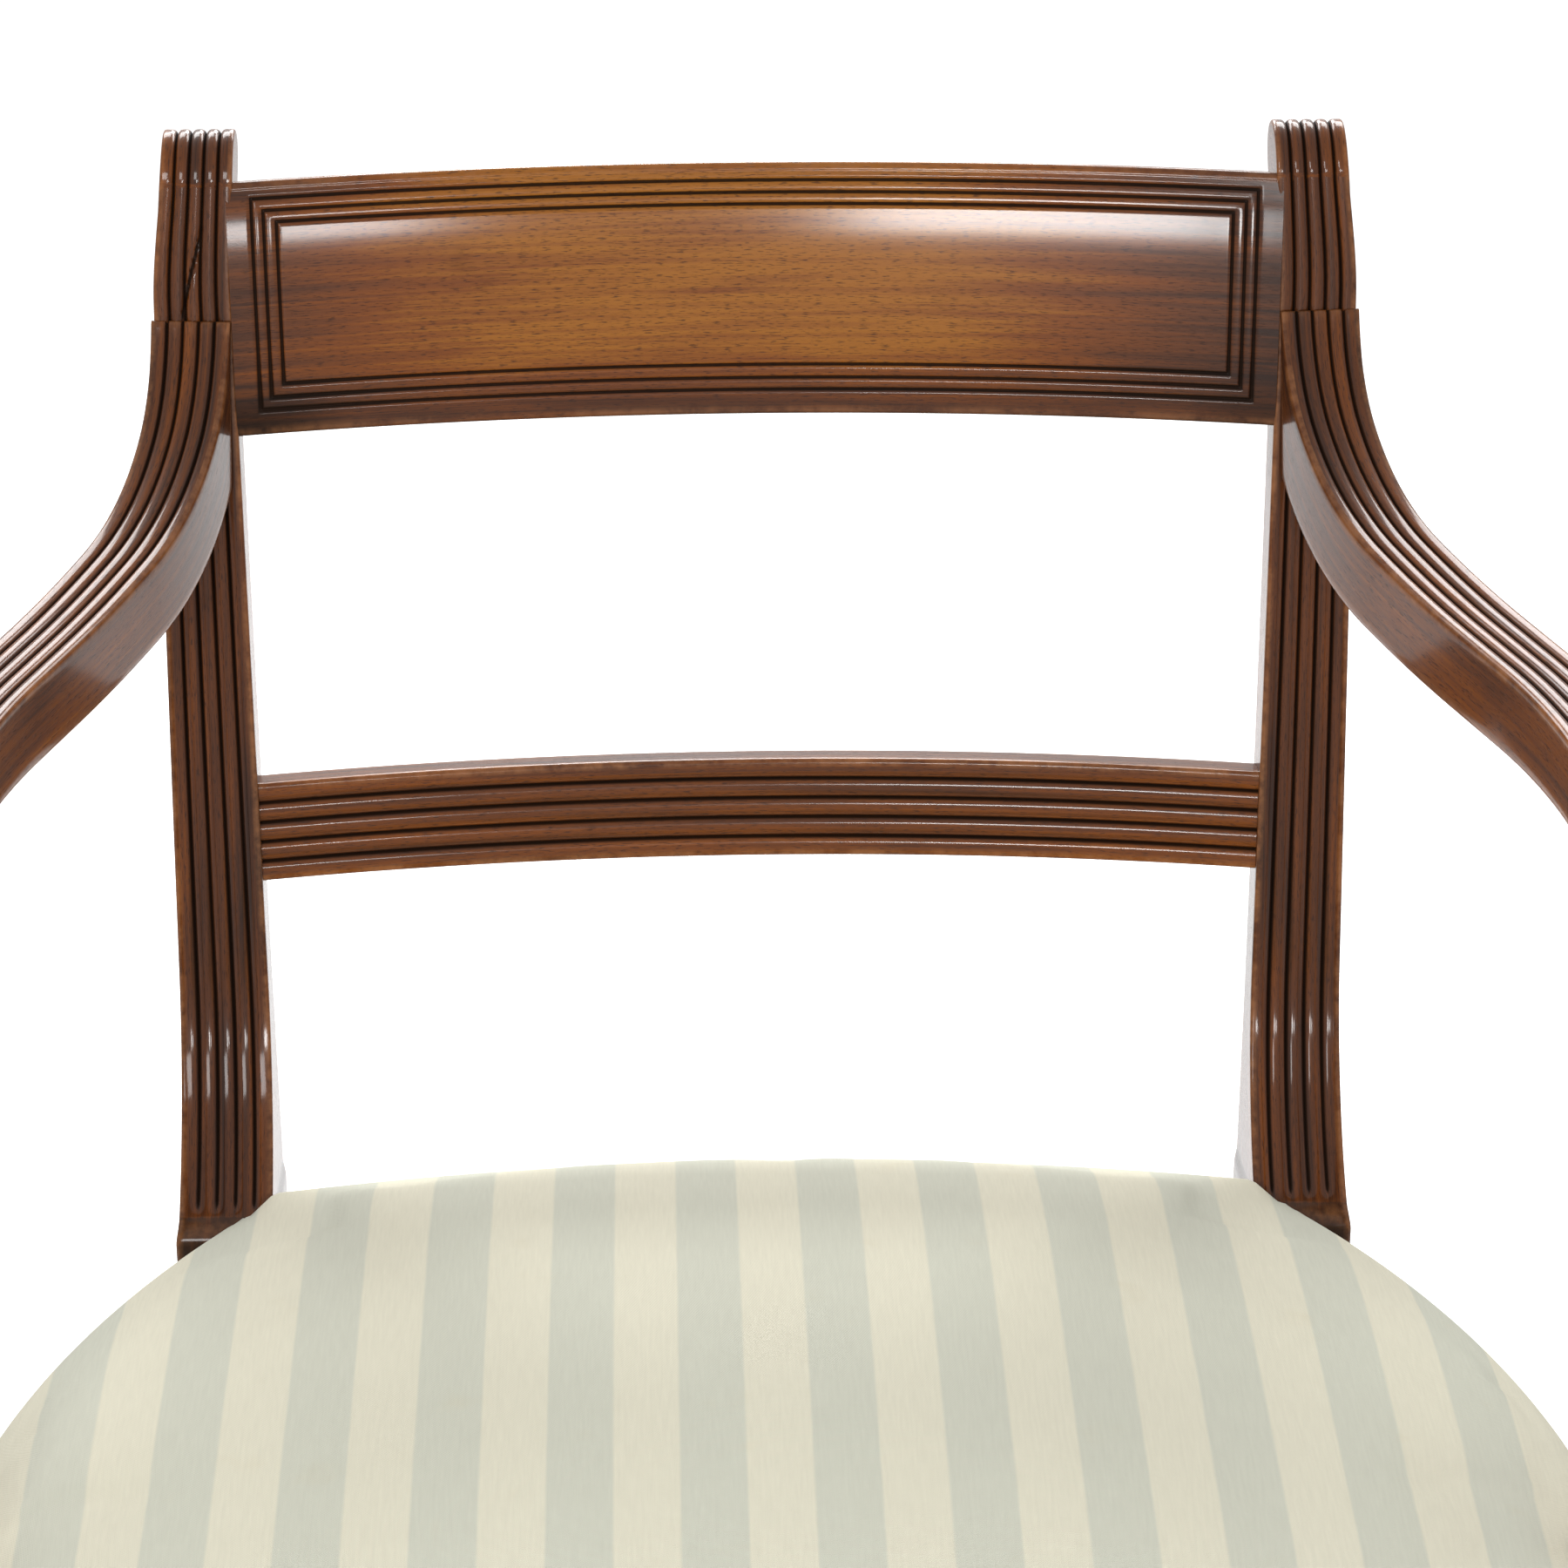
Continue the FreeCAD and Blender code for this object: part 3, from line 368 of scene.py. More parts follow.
@dataclass(frozen=True)
class BackPost:
    """Reeded stile with a scrolled top, plain block at the seat and sabre leg, in one piece of wood."""

    stop_z: float = 438.0
    foot_width: float = 35.0
    top_width: float = 27.9
    top_z: float = 801.4
    top_depth: float = 21.4
    front_heading: float = 32.0
    front_bends: Bends = ((93.7, 47.5), (301.2, -1.93))
    back_start: Pair = (62.5, 427.0)
    back_heading: float = 85.4
    back_bends: Bends = ((83.0, -5.6), (298.2, -2.12))
    block_outer_x: float = 221.0
    block_inner_x: float = 184.0
    foot_taper: float = 9.0
    rail_bottom_z: float = 364.0
    block_slant: float = 11.0
    block_height: float = 66.0
    ledge_z: float = 434.5
    ledge_spread: float = 2.6
    draw_start_z: float = 764.0
    draw_run: float = 60.0
    draw: Pair = (2.4, 2.3)
    section: BarSection = BarSection()

    def width(self, z: Array) -> Array:
        """Width of the stile at a height."""
        share = np.clip((z - self.stop_z) / (self.top_z - self.stop_z), 0, 1)
        return self.foot_width + (self.top_width - self.foot_width) * share

    def face_y(self, z: float) -> float:
        """Where the stile's face stands at a height.

        Args:
            z: the height.

        Returns:
            Its y.
        """
        run = np.linspace(0, sum(length for length, _ in self.front_bends), 800)
        y, height, _ = walk((0, self.stop_z), self.front_heading, self.front_bends, run)
        return float(np.interp(z, height, y))

    def lower_outline(self) -> tuple[Array, Array]:
        """Front and back points of the leg, the knee, the block and the ledge, from the floor upwards.

        Returns:
            Rows of y and z in front, and as many behind.
        """
        shin = arc_through((88.0, 0.0), (37.3, 161.5), (22.0, 330.0), 34)
        knee = arc_through((22.0, 330.0), (13.5, 352.0), (-8.0, 364.0), 16)[1:]
        block = np.array([(-8, 364.8), (-8, 367), (-8, 395), (-8, 422), (-8, 428.4), (-7.9, 430),
                          (-7.5, 431.4), (-6.9, 432.6), (-6, 433.6), (-4.4, 434.9), (-2.2, 436.4),
                          (-0.6, 437.5)])
        front = np.vstack([shin, knee, block])
        calf = arc_through((122.0, 0.0), (68.5, 210.2), (62.5, 427.0), 90)
        slant = self.block_slant * smooth((front[:, 1] - self.rail_bottom_z) / self.block_height)
        back_z = front[:, 1] - slant
        return front, column(np.interp(back_z, calf[:, 1], calf[:, 0]), back_z)

    def split(self, bar: Skin) -> None:
        """Open the short split that runs across the reeds under the left scroll.

        Args:
            bar: skin of the post, changed in place.
        """
        low, high, spread, deep = 757, 793, 0.6, 1.3
        x, _, z = np.moveaxis(bar.points, -1, 0)
        line = 10.7 + (z - 761) * 6 / 29
        gap = np.exp(-((BACK_HALF_WIDTH - x - line) / spread) ** 2) * self.section.at_face()
        gap *= np.clip((z - low) / 4, 0, 1) * np.clip((high - z) / 8, 0, 1)
        bar.points[..., 1] += deep * gap
        bar.marks[..., 0] = np.maximum(bar.marks[..., 0], gap)

    def build(self, side: Side, wood: "Finish") -> Piece:
        """Make one post: leg, block and stile as one loft, and the scroll that closes it.

        Args:
            side: which post.
            wood: its finish.

        Returns:
            The piece.
        """
        low_front, low_back = self.lower_outline()
        (knee, _), (stile, _) = self.front_bends
        (back_knee, _), (back_stile, _) = self.back_bends
        first = np.concatenate([[0, 0.5, 1.0, 1.7, 2.6, 3.6, 4.8, 6.2], np.linspace(9, knee, 24)]) / knee
        second = np.concatenate([np.linspace(0, 0.83, 25)[1:], np.linspace(0.84, 1, 56)])
        run = np.concatenate([first * knee, knee + second * stile])
        back_run = np.concatenate([first * back_knee, back_knee + second * back_stile])
        y, z, angle = walk((0, self.stop_z), self.front_heading, self.front_bends, run)
        back_y, back_z, _ = walk(self.back_start, self.back_heading, self.back_bends, back_run)
        front = np.vstack([low_front, column(y, z)])
        behind = np.vstack([low_back, column(back_y, back_z)]) - front
        inward = column(0, *unit(behind).T)
        depth = np.linalg.norm(behind, axis=1)
        inward[-1] = 0, math.sin(angle[-1]), -math.cos(angle[-1])
        depth[-1] = self.top_depth
        lows = len(low_front)
        height = front[:lows, 1]
        rise = smooth((height - 430) / 8)
        taper = self.foot_taper * np.clip(1 - height / self.rail_bottom_z, 0, 1)
        inner, outer = self.block_inner_x + taper + rise, self.block_outer_x - rise
        corner_x = np.concatenate([outer, np.full(len(y), BACK_HALF_WIDTH)])
        width = np.concatenate([outer - inner, self.width(z)])
        sink = np.concatenate([np.zeros(lows), REED_SINK * smooth((run - 1.0) / 5)])
        travel = along(front)
        across = np.tile([-1.0, 0, 0], (len(front), 1))
        bar = self.section.carry(column(corner_x, *front.T), across, inward, width, depth, sink, travel)
        # the ledge under the reed stops gets a painted highlight along its upward-facing step, in the worn
        # colour
        ledge = np.exp(-((front[:, 1:] - self.ledge_z) / self.ledge_spread) ** 2)
        bar.marks[..., 1] = np.maximum(bar.marks[..., 1], 0.75 * ledge * self.section.at_face())
        # the block by the seat is set darker than the leg below it and the stile above
        bar.marks[:lows, :, 2] = 0.1 + 0.12 * (height[:, None] < 330)
        up = np.array([0, math.cos(angle[-1]), math.sin(angle[-1])])
        corner = np.array([BACK_HALF_WIDTH, y[-1], z[-1]])
        roll = self.section.scroll(corner, across[-1], inward[-1], up, self.top_width)
        roll.grain[..., 0] += travel[-1]
        # the scroll is painted lighter, partly as a painted reflection on the roll
        roll.marks[..., 2] += 0.12
        if side is Side.LEFT:
            self.split(bar)
        for skin in (bar, roll):
            x, _, z = np.moveaxis(skin.points, -1, 0)
            share = (x - BACK_HALF_WIDTH + self.top_width) / self.top_width
            rise = smooth((z - self.draw_start_z) / self.draw_run)
            skin.points[..., 0] -= rise * (self.draw[0] + self.draw[1] * share)
        return make_bar(side.named("back_post"), [bar.mirrored(side), roll.mirrored(side)], wood)


POST = BackPost()


@dataclass(frozen=True)
class BowedRail:
    """What the two rails of the back share: a section turned about an upright axis in front of the chair."""

    bow: float = 17.0
    reach: float = 194.0
    house: float = 0.4

    def bend(self, middle: Array, share: Array, front_y: float) -> Array:
        """Bow a section: x = r sin t and y = axis + r cos t, with r the middle's distance from the axis.

        Args:
            middle: y and z of the section at the chair's middle, one row per column or one grid.
            share: place along the rail, from -1 to 1, one per row.
            front_y: where the posts' faces stand.

        Returns:
            Grid of points.
        """
        radius = (self.reach ** 2 + self.bow ** 2) / (2 * self.bow)
        axis_y = front_y + self.bow - radius
        y, z = middle[..., 0], middle[..., 1]
        x = share[:, None] * (BACK_HALF_WIDTH - POST.width(z) + self.house)
        arm = y - axis_y
        return column(x, axis_y + np.sqrt(arm ** 2 - x ** 2), z)


@dataclass(frozen=True)
class CrestRail(BowedRail):
    """Bowed tablet whose panel is framed by three incised lines."""

    bottom_z: float = 716.5
    top_z: float = 807.6
    thickness: float = 19.0
    line_depth: float = 0.95
    line_spread: float = 0.62
    end_margins: tuple[float, ...] = (9.0, 13.2, 17.8)
    top_margins: tuple[float, ...] = (5.9, 10.2, 14.4)
    bottom_margins: tuple[float, ...] = (9.2, 13.6, 18.4)
    roll: float = 2.6
    roll_via: float = 0.76
    toe_ease: float = 1.4
    back_ease: float = 1.8
    pillow: float = 1.6
    pillow_half: float = 43.0
    grain_start: float = 500.0
    grain_depth: float = 40.0

    def section(self, face_z: Array) -> tuple[Array, Array]:
        """Side view at the chair's middle: leaning face, rolled top, leaning back, eased lower arrises.

        Args:
            face_z: heights of the face's points.

        Returns:
            The closed outline as rows of y and z, and the direction behind the face.
        """
        shoulder_z = self.top_z - self.roll
        foot_y, shoulder_y = (POST.face_y(z) + self.bow for z in (self.bottom_z, shoulder_z))
        lean = unit(np.array([shoulder_y - foot_y, shoulder_z - self.bottom_z]))
        behind = np.array([lean[1], -lean[0]])
        via = (shoulder_y + self.roll_via, self.top_z - self.roll_via)
        roll = arc_through((shoulder_y, shoulder_z), via, (shoulder_y + self.roll, self.top_z), 12)
        foot = np.array([foot_y, self.bottom_z])
        line = np.vstack([foot, roll])
        face = column(np.interp(face_z, line[:, 1], line[:, 0]), face_z)
        heel = foot + behind * self.thickness
        fall, rise = 1 - np.sin(QUARTER)[:, None], 1 - np.cos(QUARTER)[:, None]
        toe = foot + self.toe_ease * (behind * fall + lean * rise)
        back_arris = heel - self.back_ease * behind * rise + self.back_ease * lean * fall
        top = np.array([(4, -0.4), (7, -1.8), (11, -3.8), (15, -5.8), (17.2, -7), (18.5, -8.2), (19, -9.8)])
        top = top + [shoulder_y, self.top_z]
        back = top[-1] + np.linspace(0.1, 0.95, 7)[:, None] * (heel - top[-1])
        return np.vstack([toe, face, top, back, back_arris]), behind

    def build(self, wood: "Finish") -> Piece:
        """Make the tablet: the face sinks by a bell curve of the distance from each incised frame.

        Args:
            wood: its finish.

        Returns:
            The piece.
        """
        near = self.line_spread * np.array([-2.6, -1.7, -1.1, -0.6, -0.25, 0, 0.25, 0.6, 1.1, 1.7, 2.6])
        low = self.bottom_z + np.array(self.bottom_margins)
        high = self.top_z - np.array(self.top_margins)
        lines_z = np.concatenate([low, high])
        face_z = np.sort(np.concatenate([
            (lines_z[:, None] + near).ravel(),
            np.linspace(self.bottom_z + 1.6, low[0] - 2, 5),
            np.linspace(low[-1] + 2, high[-1] - 2, 26),
            np.linspace(high[0] + 2, self.top_z - 0.1, 12),
        ]))
        outline, behind = self.section(face_z)
        half = BACK_HALF_WIDTH - POST.width(self.top_z)
        lines_x = half - np.array(self.end_margins)
        right = np.concatenate([(lines_x[:, None] + near).ravel(), np.linspace(lines_x[0] + 2, half, 5)])
        middle = np.linspace(0, lines_x[-1] - 2, 34)
        x = np.sort(np.concatenate([-right, -middle[1:], middle, right]))
        share = x / half
        z = np.broadcast_to(outline[:, 1], (len(x), len(outline)))
        on_face = np.zeros(len(outline))
        on_face[len(QUARTER):len(QUARTER) + len(face_z)] = 1
        inset = np.stack([np.minimum(np.minimum(half - end - np.abs(x)[:, None], z - b), t - z)
                          for end, b, t in zip(self.end_margins, low, high)])
        bell = np.exp(-(inset / self.line_spread) ** 2).sum(0) * on_face
        middle_z = (self.bottom_z + self.top_z) / 2
        pillow = self.pillow * np.clip(1 - ((z - middle_z) / self.pillow_half) ** 4, 0, 1) * on_face
        middle_grid = outline + (self.line_depth * bell - pillow)[..., None] * behind
        points = self.bend(middle_grid, share, POST.face_y(middle_z))
        x, up = x[:, None], z - self.bottom_z
        grain = column(x + self.grain_start, outline[:, 1], self.grain_depth)
        # pale bands along the top and bottom edges, outside the lines: partly wear, partly a painted
        # highlight
        rim = np.exp(-((z - self.top_z + 0.8) / 1.8) ** 2) + np.exp(-((up - 1.5) / 1.4) ** 2)
        golden = smooth(1.25 - np.abs(x + 10) / 190) * smooth((up + 3) / 34)
        # darker towards the lower corners by the posts, more on the left
        low_corner_dark = np.where(x < 0, 0.55, 0.4) * smooth((np.abs(x) - 115) / 70) * smooth(1 - up / 34)
        worn_and_lit = 0.6 * np.clip(rim, 0, 1) * (inset[0] < -2)
        marks = column(np.clip(bell + low_corner_dark, 0, 1), worn_and_lit, 0.2 + 0.62 * golden)
        return make_bar("crest_rail", [Skin(points, grain, marks)], wood)


@dataclass(frozen=True)
class MidRail(BowedRail):
    """Bowed reeded rail between the posts."""

    bottom_z: float = 548.0
    height: float = 38.0
    thickness: float = 14.0
    setback: float = 2.0
    grain_start: float = 900.0
    grain_half: float = 190.0
    section: BarSection = BarSection(outer_ease=1.4, inner_ease=1.6, bleach_and_light=0.42)

    def build(self, wood: "Finish") -> Piece:
        """Make the rail: the reeded section stands upright, leans with the posts and is bowed.

        Args:
            wood: its finish.

        Returns:
            The piece.
        """
        share_a, shift_a, share_d, shift_d, hollow, worn_and_lit = self.section.columns().T
        foot_y = POST.face_y(self.bottom_z)
        lean = math.atan2(POST.face_y(self.bottom_z + self.height) - foot_y, self.height)
        up = np.array([math.sin(lean), math.cos(lean)])
        behind = np.array([math.cos(lean), -math.sin(lean)])
        a = self.height * share_a + shift_a
        d = self.thickness * share_d + shift_d + REED_SINK * hollow
        corner = np.array([foot_y + self.bow + self.setback, self.bottom_z])
        middle = corner + a[:, None] * up + d[:, None] * behind
        share = np.linspace(-1, 1, 70)
        points = self.bend(middle, share, foot_y)
        marks = column(hollow, worn_and_lit, np.full((len(share), 1), self.section.bleach_and_light))
        grain = column(share[:, None] * self.grain_half + self.grain_start, a, d)
        return make_bar("mid_rail", [Skin(points, grain, marks)], wood)


@dataclass(frozen=True)
class Arm:
    """Reeded arm that sweeps down, forwards and outwards from the post to a scroll."""

    wide: float = 28.5
    deep: float = 31.0
    swell: float = 18.0
    swell_run: float = 40.0
    start_y: float = 106.2
    start_z: float = 771.0
    drop_heading: float = -64.0
    drop_bends: Bends = ((14.0, 0.0), (45.0, 36.0), (65.0, 21.0), (60.0, 6.0), (222.0, 1.0))
    plan_heading: float = -86.3
    plan_bends: Bends = ((99.0, 17.6), (92.0, 0.0), (110.0, -21.3), (110.0, 0.0))
    housing: float = 2.5
    lip: float = 1.0
    proud: float = 0.5
    begin: float = 13.0
    lip_decay: float = 80.0
    proud_decay: float = 60.0
    grain_start: float = 1300.0
    section: BarSection = BarSection(outer_ease=1.6, inner_ease=2.2, back_ease=4.0, bleach_and_light=0.34)

    def stations(self, distance: Array) -> tuple[Array, Array, Array, Array]:
        """Corner, across, inward and forward directions at distances along the arm.

        Args:
            distance: the distances.

        Returns:
            One row of each per distance.
        """
        run, z, drop = walk((0.0, self.start_z), self.drop_heading, self.drop_bends, distance)
        x, y, plan = walk((BACK_HALF_WIDTH, self.start_y), self.plan_heading, self.plan_bends, run)
        forward = column(np.cos(drop) * np.cos(plan), np.cos(drop) * np.sin(plan), np.sin(drop))
        across = column(np.sin(plan), -np.cos(plan), 0)
        return column(x, y, z), across, np.cross(forward, across), forward

    def room(self, points: Array, inward: Array) -> Array:
        """Depth from points of the face to the flat on the post that the arm is seated against.

        Args:
            points: rows of points.
            inward: directions in which the depth is taken.

        Returns:
            The depths.
        """
        low_z, high_z = 650.0, 750.0
        low, high = POST.face_y(low_z), POST.face_y(high_z)
        slope = (high - low) / (high_z - low_z)
        ahead = low + slope * (points[:, 2] - low_z) + self.housing - points[:, 1]
        return ahead / (inward[:, 1] - slope * inward[:, 2])

    def build(self, side: Side, wood: "Finish") -> Piece:
        """Make one arm: near the post its depth ends on the post's flat, and its end has a rounded lip.

        Args:
            side: which arm.
            wood: its finish.

        Returns:
            The piece.
        """
        travel = np.concatenate([self.begin + np.array([0, 0.25, 0.6, 1.1, 1.8, 2.8, 4.5]),
                                 np.linspace(20, 124, 50), np.linspace(128, 406, 56)])
        corner, across, inward, forward = self.stations(travel)
        past = travel - self.begin
        lift = self.lip * np.exp(-past / self.lip_decay) * np.sqrt(np.clip(past / 1.4, 0, 1))
        swollen = self.deep + self.swell * np.exp(-travel / self.swell_run)
        depth = np.minimum(swollen, self.room(corner, inward)) + lift
        proud = self.proud * np.exp(-past / self.proud_decay)
        corner = corner - inward * lift[:, None] - across * proud[:, None]
        sink = np.minimum(REED_SINK, 0.75 * depth)
        grain_at = travel + self.grain_start
        bar = self.section.carry(corner, across, inward, self.wide + proud, depth, sink, grain_at)
        # the arm's end at the post gets the pale rubbed colour: wear, and a painted highlight on the lip
        end_rub_and_sheen = 0.9 * np.exp(-past / 1.6)[:, None] * (bar.marks[..., 0] < 0.5)
        bar.marks[..., 1] = np.maximum(bar.marks[..., 1], end_rub_and_sheen)
        bar.marks[..., 2] += 0.14 * smooth((travel - 60) / 90)[:, None]
        roll = self.section.scroll(corner[-1], across[-1], inward[-1], forward[-1], self.wide)
        roll.grain[..., 0] += grain_at[-1]
        roll.marks[..., 2] += 0.1
        return make_bar(side.named("arm"), [bar.mirrored(side), roll.mirrored(side)], wood)


@dataclass(frozen=True)
class ArmScrews:
    """Countersunk screws from the backs of the posts into the arms."""

    z: float = 724.0
    sink: float = 15.0
    length: float = 33.0
    head: float = 4.0
    shank: float = 2.0
    thread: float = 0.14
    pitch: float = 1.8
    cone: float = 2.2

    def build(self, steel: "Finish") -> Piece:
        """Make both screws: the thread is a wave along the shank that turns once with each pitch.

        Args:
            steel: their finish.

        Returns:
            The piece.
        """
        low, face, high = (POST.face_y(self.z + step) for step in (-10, 0, 10))
        slope = math.atan2(high - low, 20)
        forward = np.array([0, -math.cos(slope), math.sin(slope)])
        start = np.array([BACK_HALF_WIDTH - Arm.wide / 2, face, self.z]) - forward * self.sink
        travel = np.concatenate([[0, 0.3], np.linspace(self.cone, self.length, 90)])
        turn = np.linspace(0, 2 * np.pi, 24, endpoint=False)
        radius = np.interp(travel, [0, 0.3, self.cone, self.length],
                           [self.head - 0.2, self.head, self.shank, self.shank / 2])
        wave = np.sin(2 * np.pi * travel[:, None] / self.pitch - turn) * smooth((travel[:, None] - 9) / 4)
        radius = radius[:, None] * (1 + self.thread * (wave - 1) * (travel[:, None] > 3))
        ray = np.cos(turn)[:, None] * [1.0, 0, 0] + np.sin(turn)[:, None] * np.cross(forward, [1.0, 0, 0])
        points = start + travel[:, None, None] * forward + radius[..., None] * ray
        skin = Skin(points, points, points * 0)
        return make_bar("arm_joint_screws", [skin.mirrored(side) for side in Side], steel)


@dataclass(frozen=True)
class ArmSupport:
    """Reeded upright, curved to the back between the side rail and the arm."""

    front_y: float = -258.0
    base_x: float = 300.0
    base_z: float = 372.0
    top_x: float = 293.0
    wide: float = 26.0
    deep: float = 25.0
    bends: Bends = ((56.0, 0.0), (85.0, -22.0), (120.0, 44.0), (52.0, 0.0))
    reeds_from: float = 50.0
    grain_start: float = 2100.0
    section: BarSection = BarSection(outer_ease=1.2, inner_ease=1.2)

    def build(self, side: Side, wood: "Finish") -> Piece:
        """Make one support: the section is carried up a chain of arcs, up to just under the arm's face.

        Args:
            side: which one.
            wood: its finish.

        Returns:
            The piece.
        """
        length = sum(run for run, _ in self.bends)
        travel = np.linspace(0, length, 70)
        y, z, angle = walk((self.front_y, self.base_z), 90, self.bends, travel)
        x = self.base_x + (self.top_x - self.base_x) * travel / length
        inward = column(0, np.sin(angle), -np.cos(angle))
        across = np.tile([-1.0, 0, 0], (len(travel), 1))
        width, depth = (np.full(len(travel), size) for size in (self.wide, self.deep))
        sink = REED_SINK * smooth((travel - self.reeds_from) / 8)
        grain_at = travel + self.grain_start
        bar = self.section.carry(column(x, y, z), across, inward, width, depth, sink, grain_at)
        return make_bar(side.named("arm_support"), [bar.mirrored(side)], wood)


@dataclass(frozen=True)
class FrontLeg:
    """Reeded sabre leg that curves forwards, under a plain block in the frame's corner."""

    inner_x: float = 231.0
    top_wide: float = 35.0
    foot_wide: float = 27.0
    top_deep: float = 36.0
    foot_deep: float = 26.0
    front_y: float = -364.0
    top_z: float = 364.0
    heading: float = -84.0
    bends: Bends = ((380.0, -26.0),)
    block_top_z: float = 417.6
    reeds_from: float = 4.0
    grain_start: float = 2700.0
    section: BarSection = BarSection(bleach_and_light=0.26)

    def build(self, side: Side, wood: "Finish") -> Piece:
        """Make one leg: the section follows one arc, and its last row is set down flat on the floor.

        Args:
            side: which one.
            wood: its finish.

        Returns:
            The piece.
        """
        length = self.bends[0][0]
        travel = np.concatenate([np.linspace(0, 16, 8), np.linspace(22, 352, 50)])
        y, z, angle = walk((self.front_y, self.top_z), self.heading, self.bends, travel)
        share = travel / length
        width = self.top_wide + (self.foot_wide - self.top_wide) * share
        depth = self.top_deep + (self.foot_deep - self.top_deep) * share
        inward = column(0, -np.sin(angle), np.cos(angle))
        across = np.tile([-1.0, 0, 0], (len(travel), 1))
        corner = column(self.inner_x + (self.top_wide + width) / 2, y, z)
        sink = REED_SINK * smooth((travel - self.reeds_from) / 8)
        bar = self.section.carry(corner, across, inward, width, depth, sink, travel + self.grain_start)
        whole = bar.points[..., 2].min(1) > 1.5
        count = int(np.argmin(whole)) if not whole.all() else len(whole)
        last = bar.points[count - 1]
        down = np.array([0, math.cos(angle[count - 1]), math.sin(angle[count - 1])])
        foot = last - down * (last[:, 2:] / down[2])
        head = bar.points[0] * [1, 1, 0] + [0, 0, self.block_top_z]
        rows = np.concatenate([[0], np.arange(count), [count - 1]])
        grain = bar.grain[rows]
        grain[[0, -1]] += [[[-50, 0, 0]], [[9, 0, 0]]]
        bar = Skin(np.concatenate([head[None], bar.points[:count], foot[None]]), grain, bar.marks[rows])
        return make_bar(side.named("front_leg"), [bar.mirrored(side)], wood)


@dataclass(frozen=True)
class SeatPlan:
    """Outline of the seat from above: bowed back, flared sides, rounded corners and bowed front."""

    flare_start: Pair = (206.0, -6.0)
    flare_heading: float = -51.5
    side_radius: float = 382.0
    side_run: float = 72.0
    corner_radius: float = 70.0
    corner_turn: float = 82.0
    back_corner: Pair = (195.0, 16.0)
    back_bow: float = 20.0
    centre_y: float = -185.0

    def outline(self, count: int) -> Array:
        """Points at even steps round the outline, from the middle of the back over the right side.

        Args:
            count: how many points.

        Returns:
            Rows of x and y.
        """
        turn = 90 + self.flare_heading
        side = self.side_radius * math.radians(turn)
        corner = self.corner_radius * math.radians(self.corner_turn)
        bends = ((side, -turn), (self.side_run, 0.0), (corner, -self.corner_turn))
        run = np.linspace(0, side + self.side_run + corner, 300)
        x, y, _ = walk(self.flare_start, self.flare_heading, bends, run)
        share = np.linspace(1, 0, 60)[1:]
        drop = x[-1] * math.tan(math.radians(90 - self.corner_turn) / 2)
        front = column(x[-1] * share, y[-1] - drop * (1 - share ** 2))
        across = np.linspace(0, 1, 60)
        back = column(self.back_corner[0] * across, self.back_corner[1] + self.back_bow * (1 - across ** 2))
        right = np.vstack([back, column(x, y), front])
        ring = np.vstack([right, right[-2::-1] * [-1, 1]])
        travel = along(ring)
        even = np.linspace(0, travel[-1], count, endpoint=False)
        return column(np.interp(even, travel, ring[:, 0]), np.interp(even, travel, ring[:, 1]))

    def spread(self, cells: int) -> tuple[Array, Array, Array]:
        """Spread a square grid over the outline, so that each square ring becomes a smaller outline.

        A grid point's ring is the larger of |s| and |t|; its place round the ring gives its place on the
        outline.

        Args:
            cells: cells along the grid's side, an even number.

        Returns:
            Ring share, and x and y of the outline point towards which each grid point lies.
        """
        line = np.linspace(-1, 1, cells + 1)
        s, t = np.meshgrid(line, line, indexing="ij")
        ring = np.maximum(np.abs(s), np.abs(t))
        safe = np.where(ring > 0, ring, 1)
        u, v = s / safe, t / safe
        edge = np.select([(v >= 1) & (u >= 0), u >= 1, v <= -1, u <= -1], [u, 2 - v, 4 - u, 6 + v], 8 + u)
        share = edge / 8 * PLAN_STEPS
        outline = self.outline(PLAN_STEPS)
        closed = np.vstack([outline, outline[:1]])
        steps = np.arange(PLAN_STEPS + 1)
        return ring, np.interp(share, steps, closed[:, 0]), np.interp(share, steps, closed[:, 1])


def grid_faces(index: Array) -> Faces:
    """Faces of a grid of vertex indices."""
    quads = np.stack([index[:-1, :-1], index[1:, :-1], index[1:, 1:], index[:-1, 1:]], -1)
    return quads.reshape(-1, 4).tolist()


def border_of(index: Array) -> Array:
    """Indices round a grid's border, in order."""
    return np.concatenate([index[:-1, -1], index[-1, :0:-1], index[:0:-1, 0], index[0, :-1]])


def keep_clear(points: Array) -> Array:
    """Move cloth out of the wood that stands in it, to the nearer side of each post and support.

    Args:
        points: rows of points.

    Returns:
        The moved rows.
    """
    post_inner, post_outer, post_front, post_top = 183.2, 222.0, -8.8, 445.0
    support_inner, support_front, support_back, support_top = 273.0, -258.8, -232.2, 470.0
    moved = points.copy()
    x, y, z = np.abs(moved[:, 0]), moved[:, 1], moved[:, 2]
    sign = np.where(moved[:, 0] < 0, -1, 1)
    in_post = (x > post_inner) & (x < post_outer) & (y > post_front) & (z < post_top)
    to_side = in_post & (x - post_inner < y - post_front)
    moved[to_side, 0] = sign[to_side] * post_inner
    moved[in_post & ~to_side, 1] = post_front
    in_support = (x > support_inner) & (y > support_front) & (y < support_back) & (z < support_top)
    moved[in_support, 0] = sign[in_support] * support_inner
    return moved


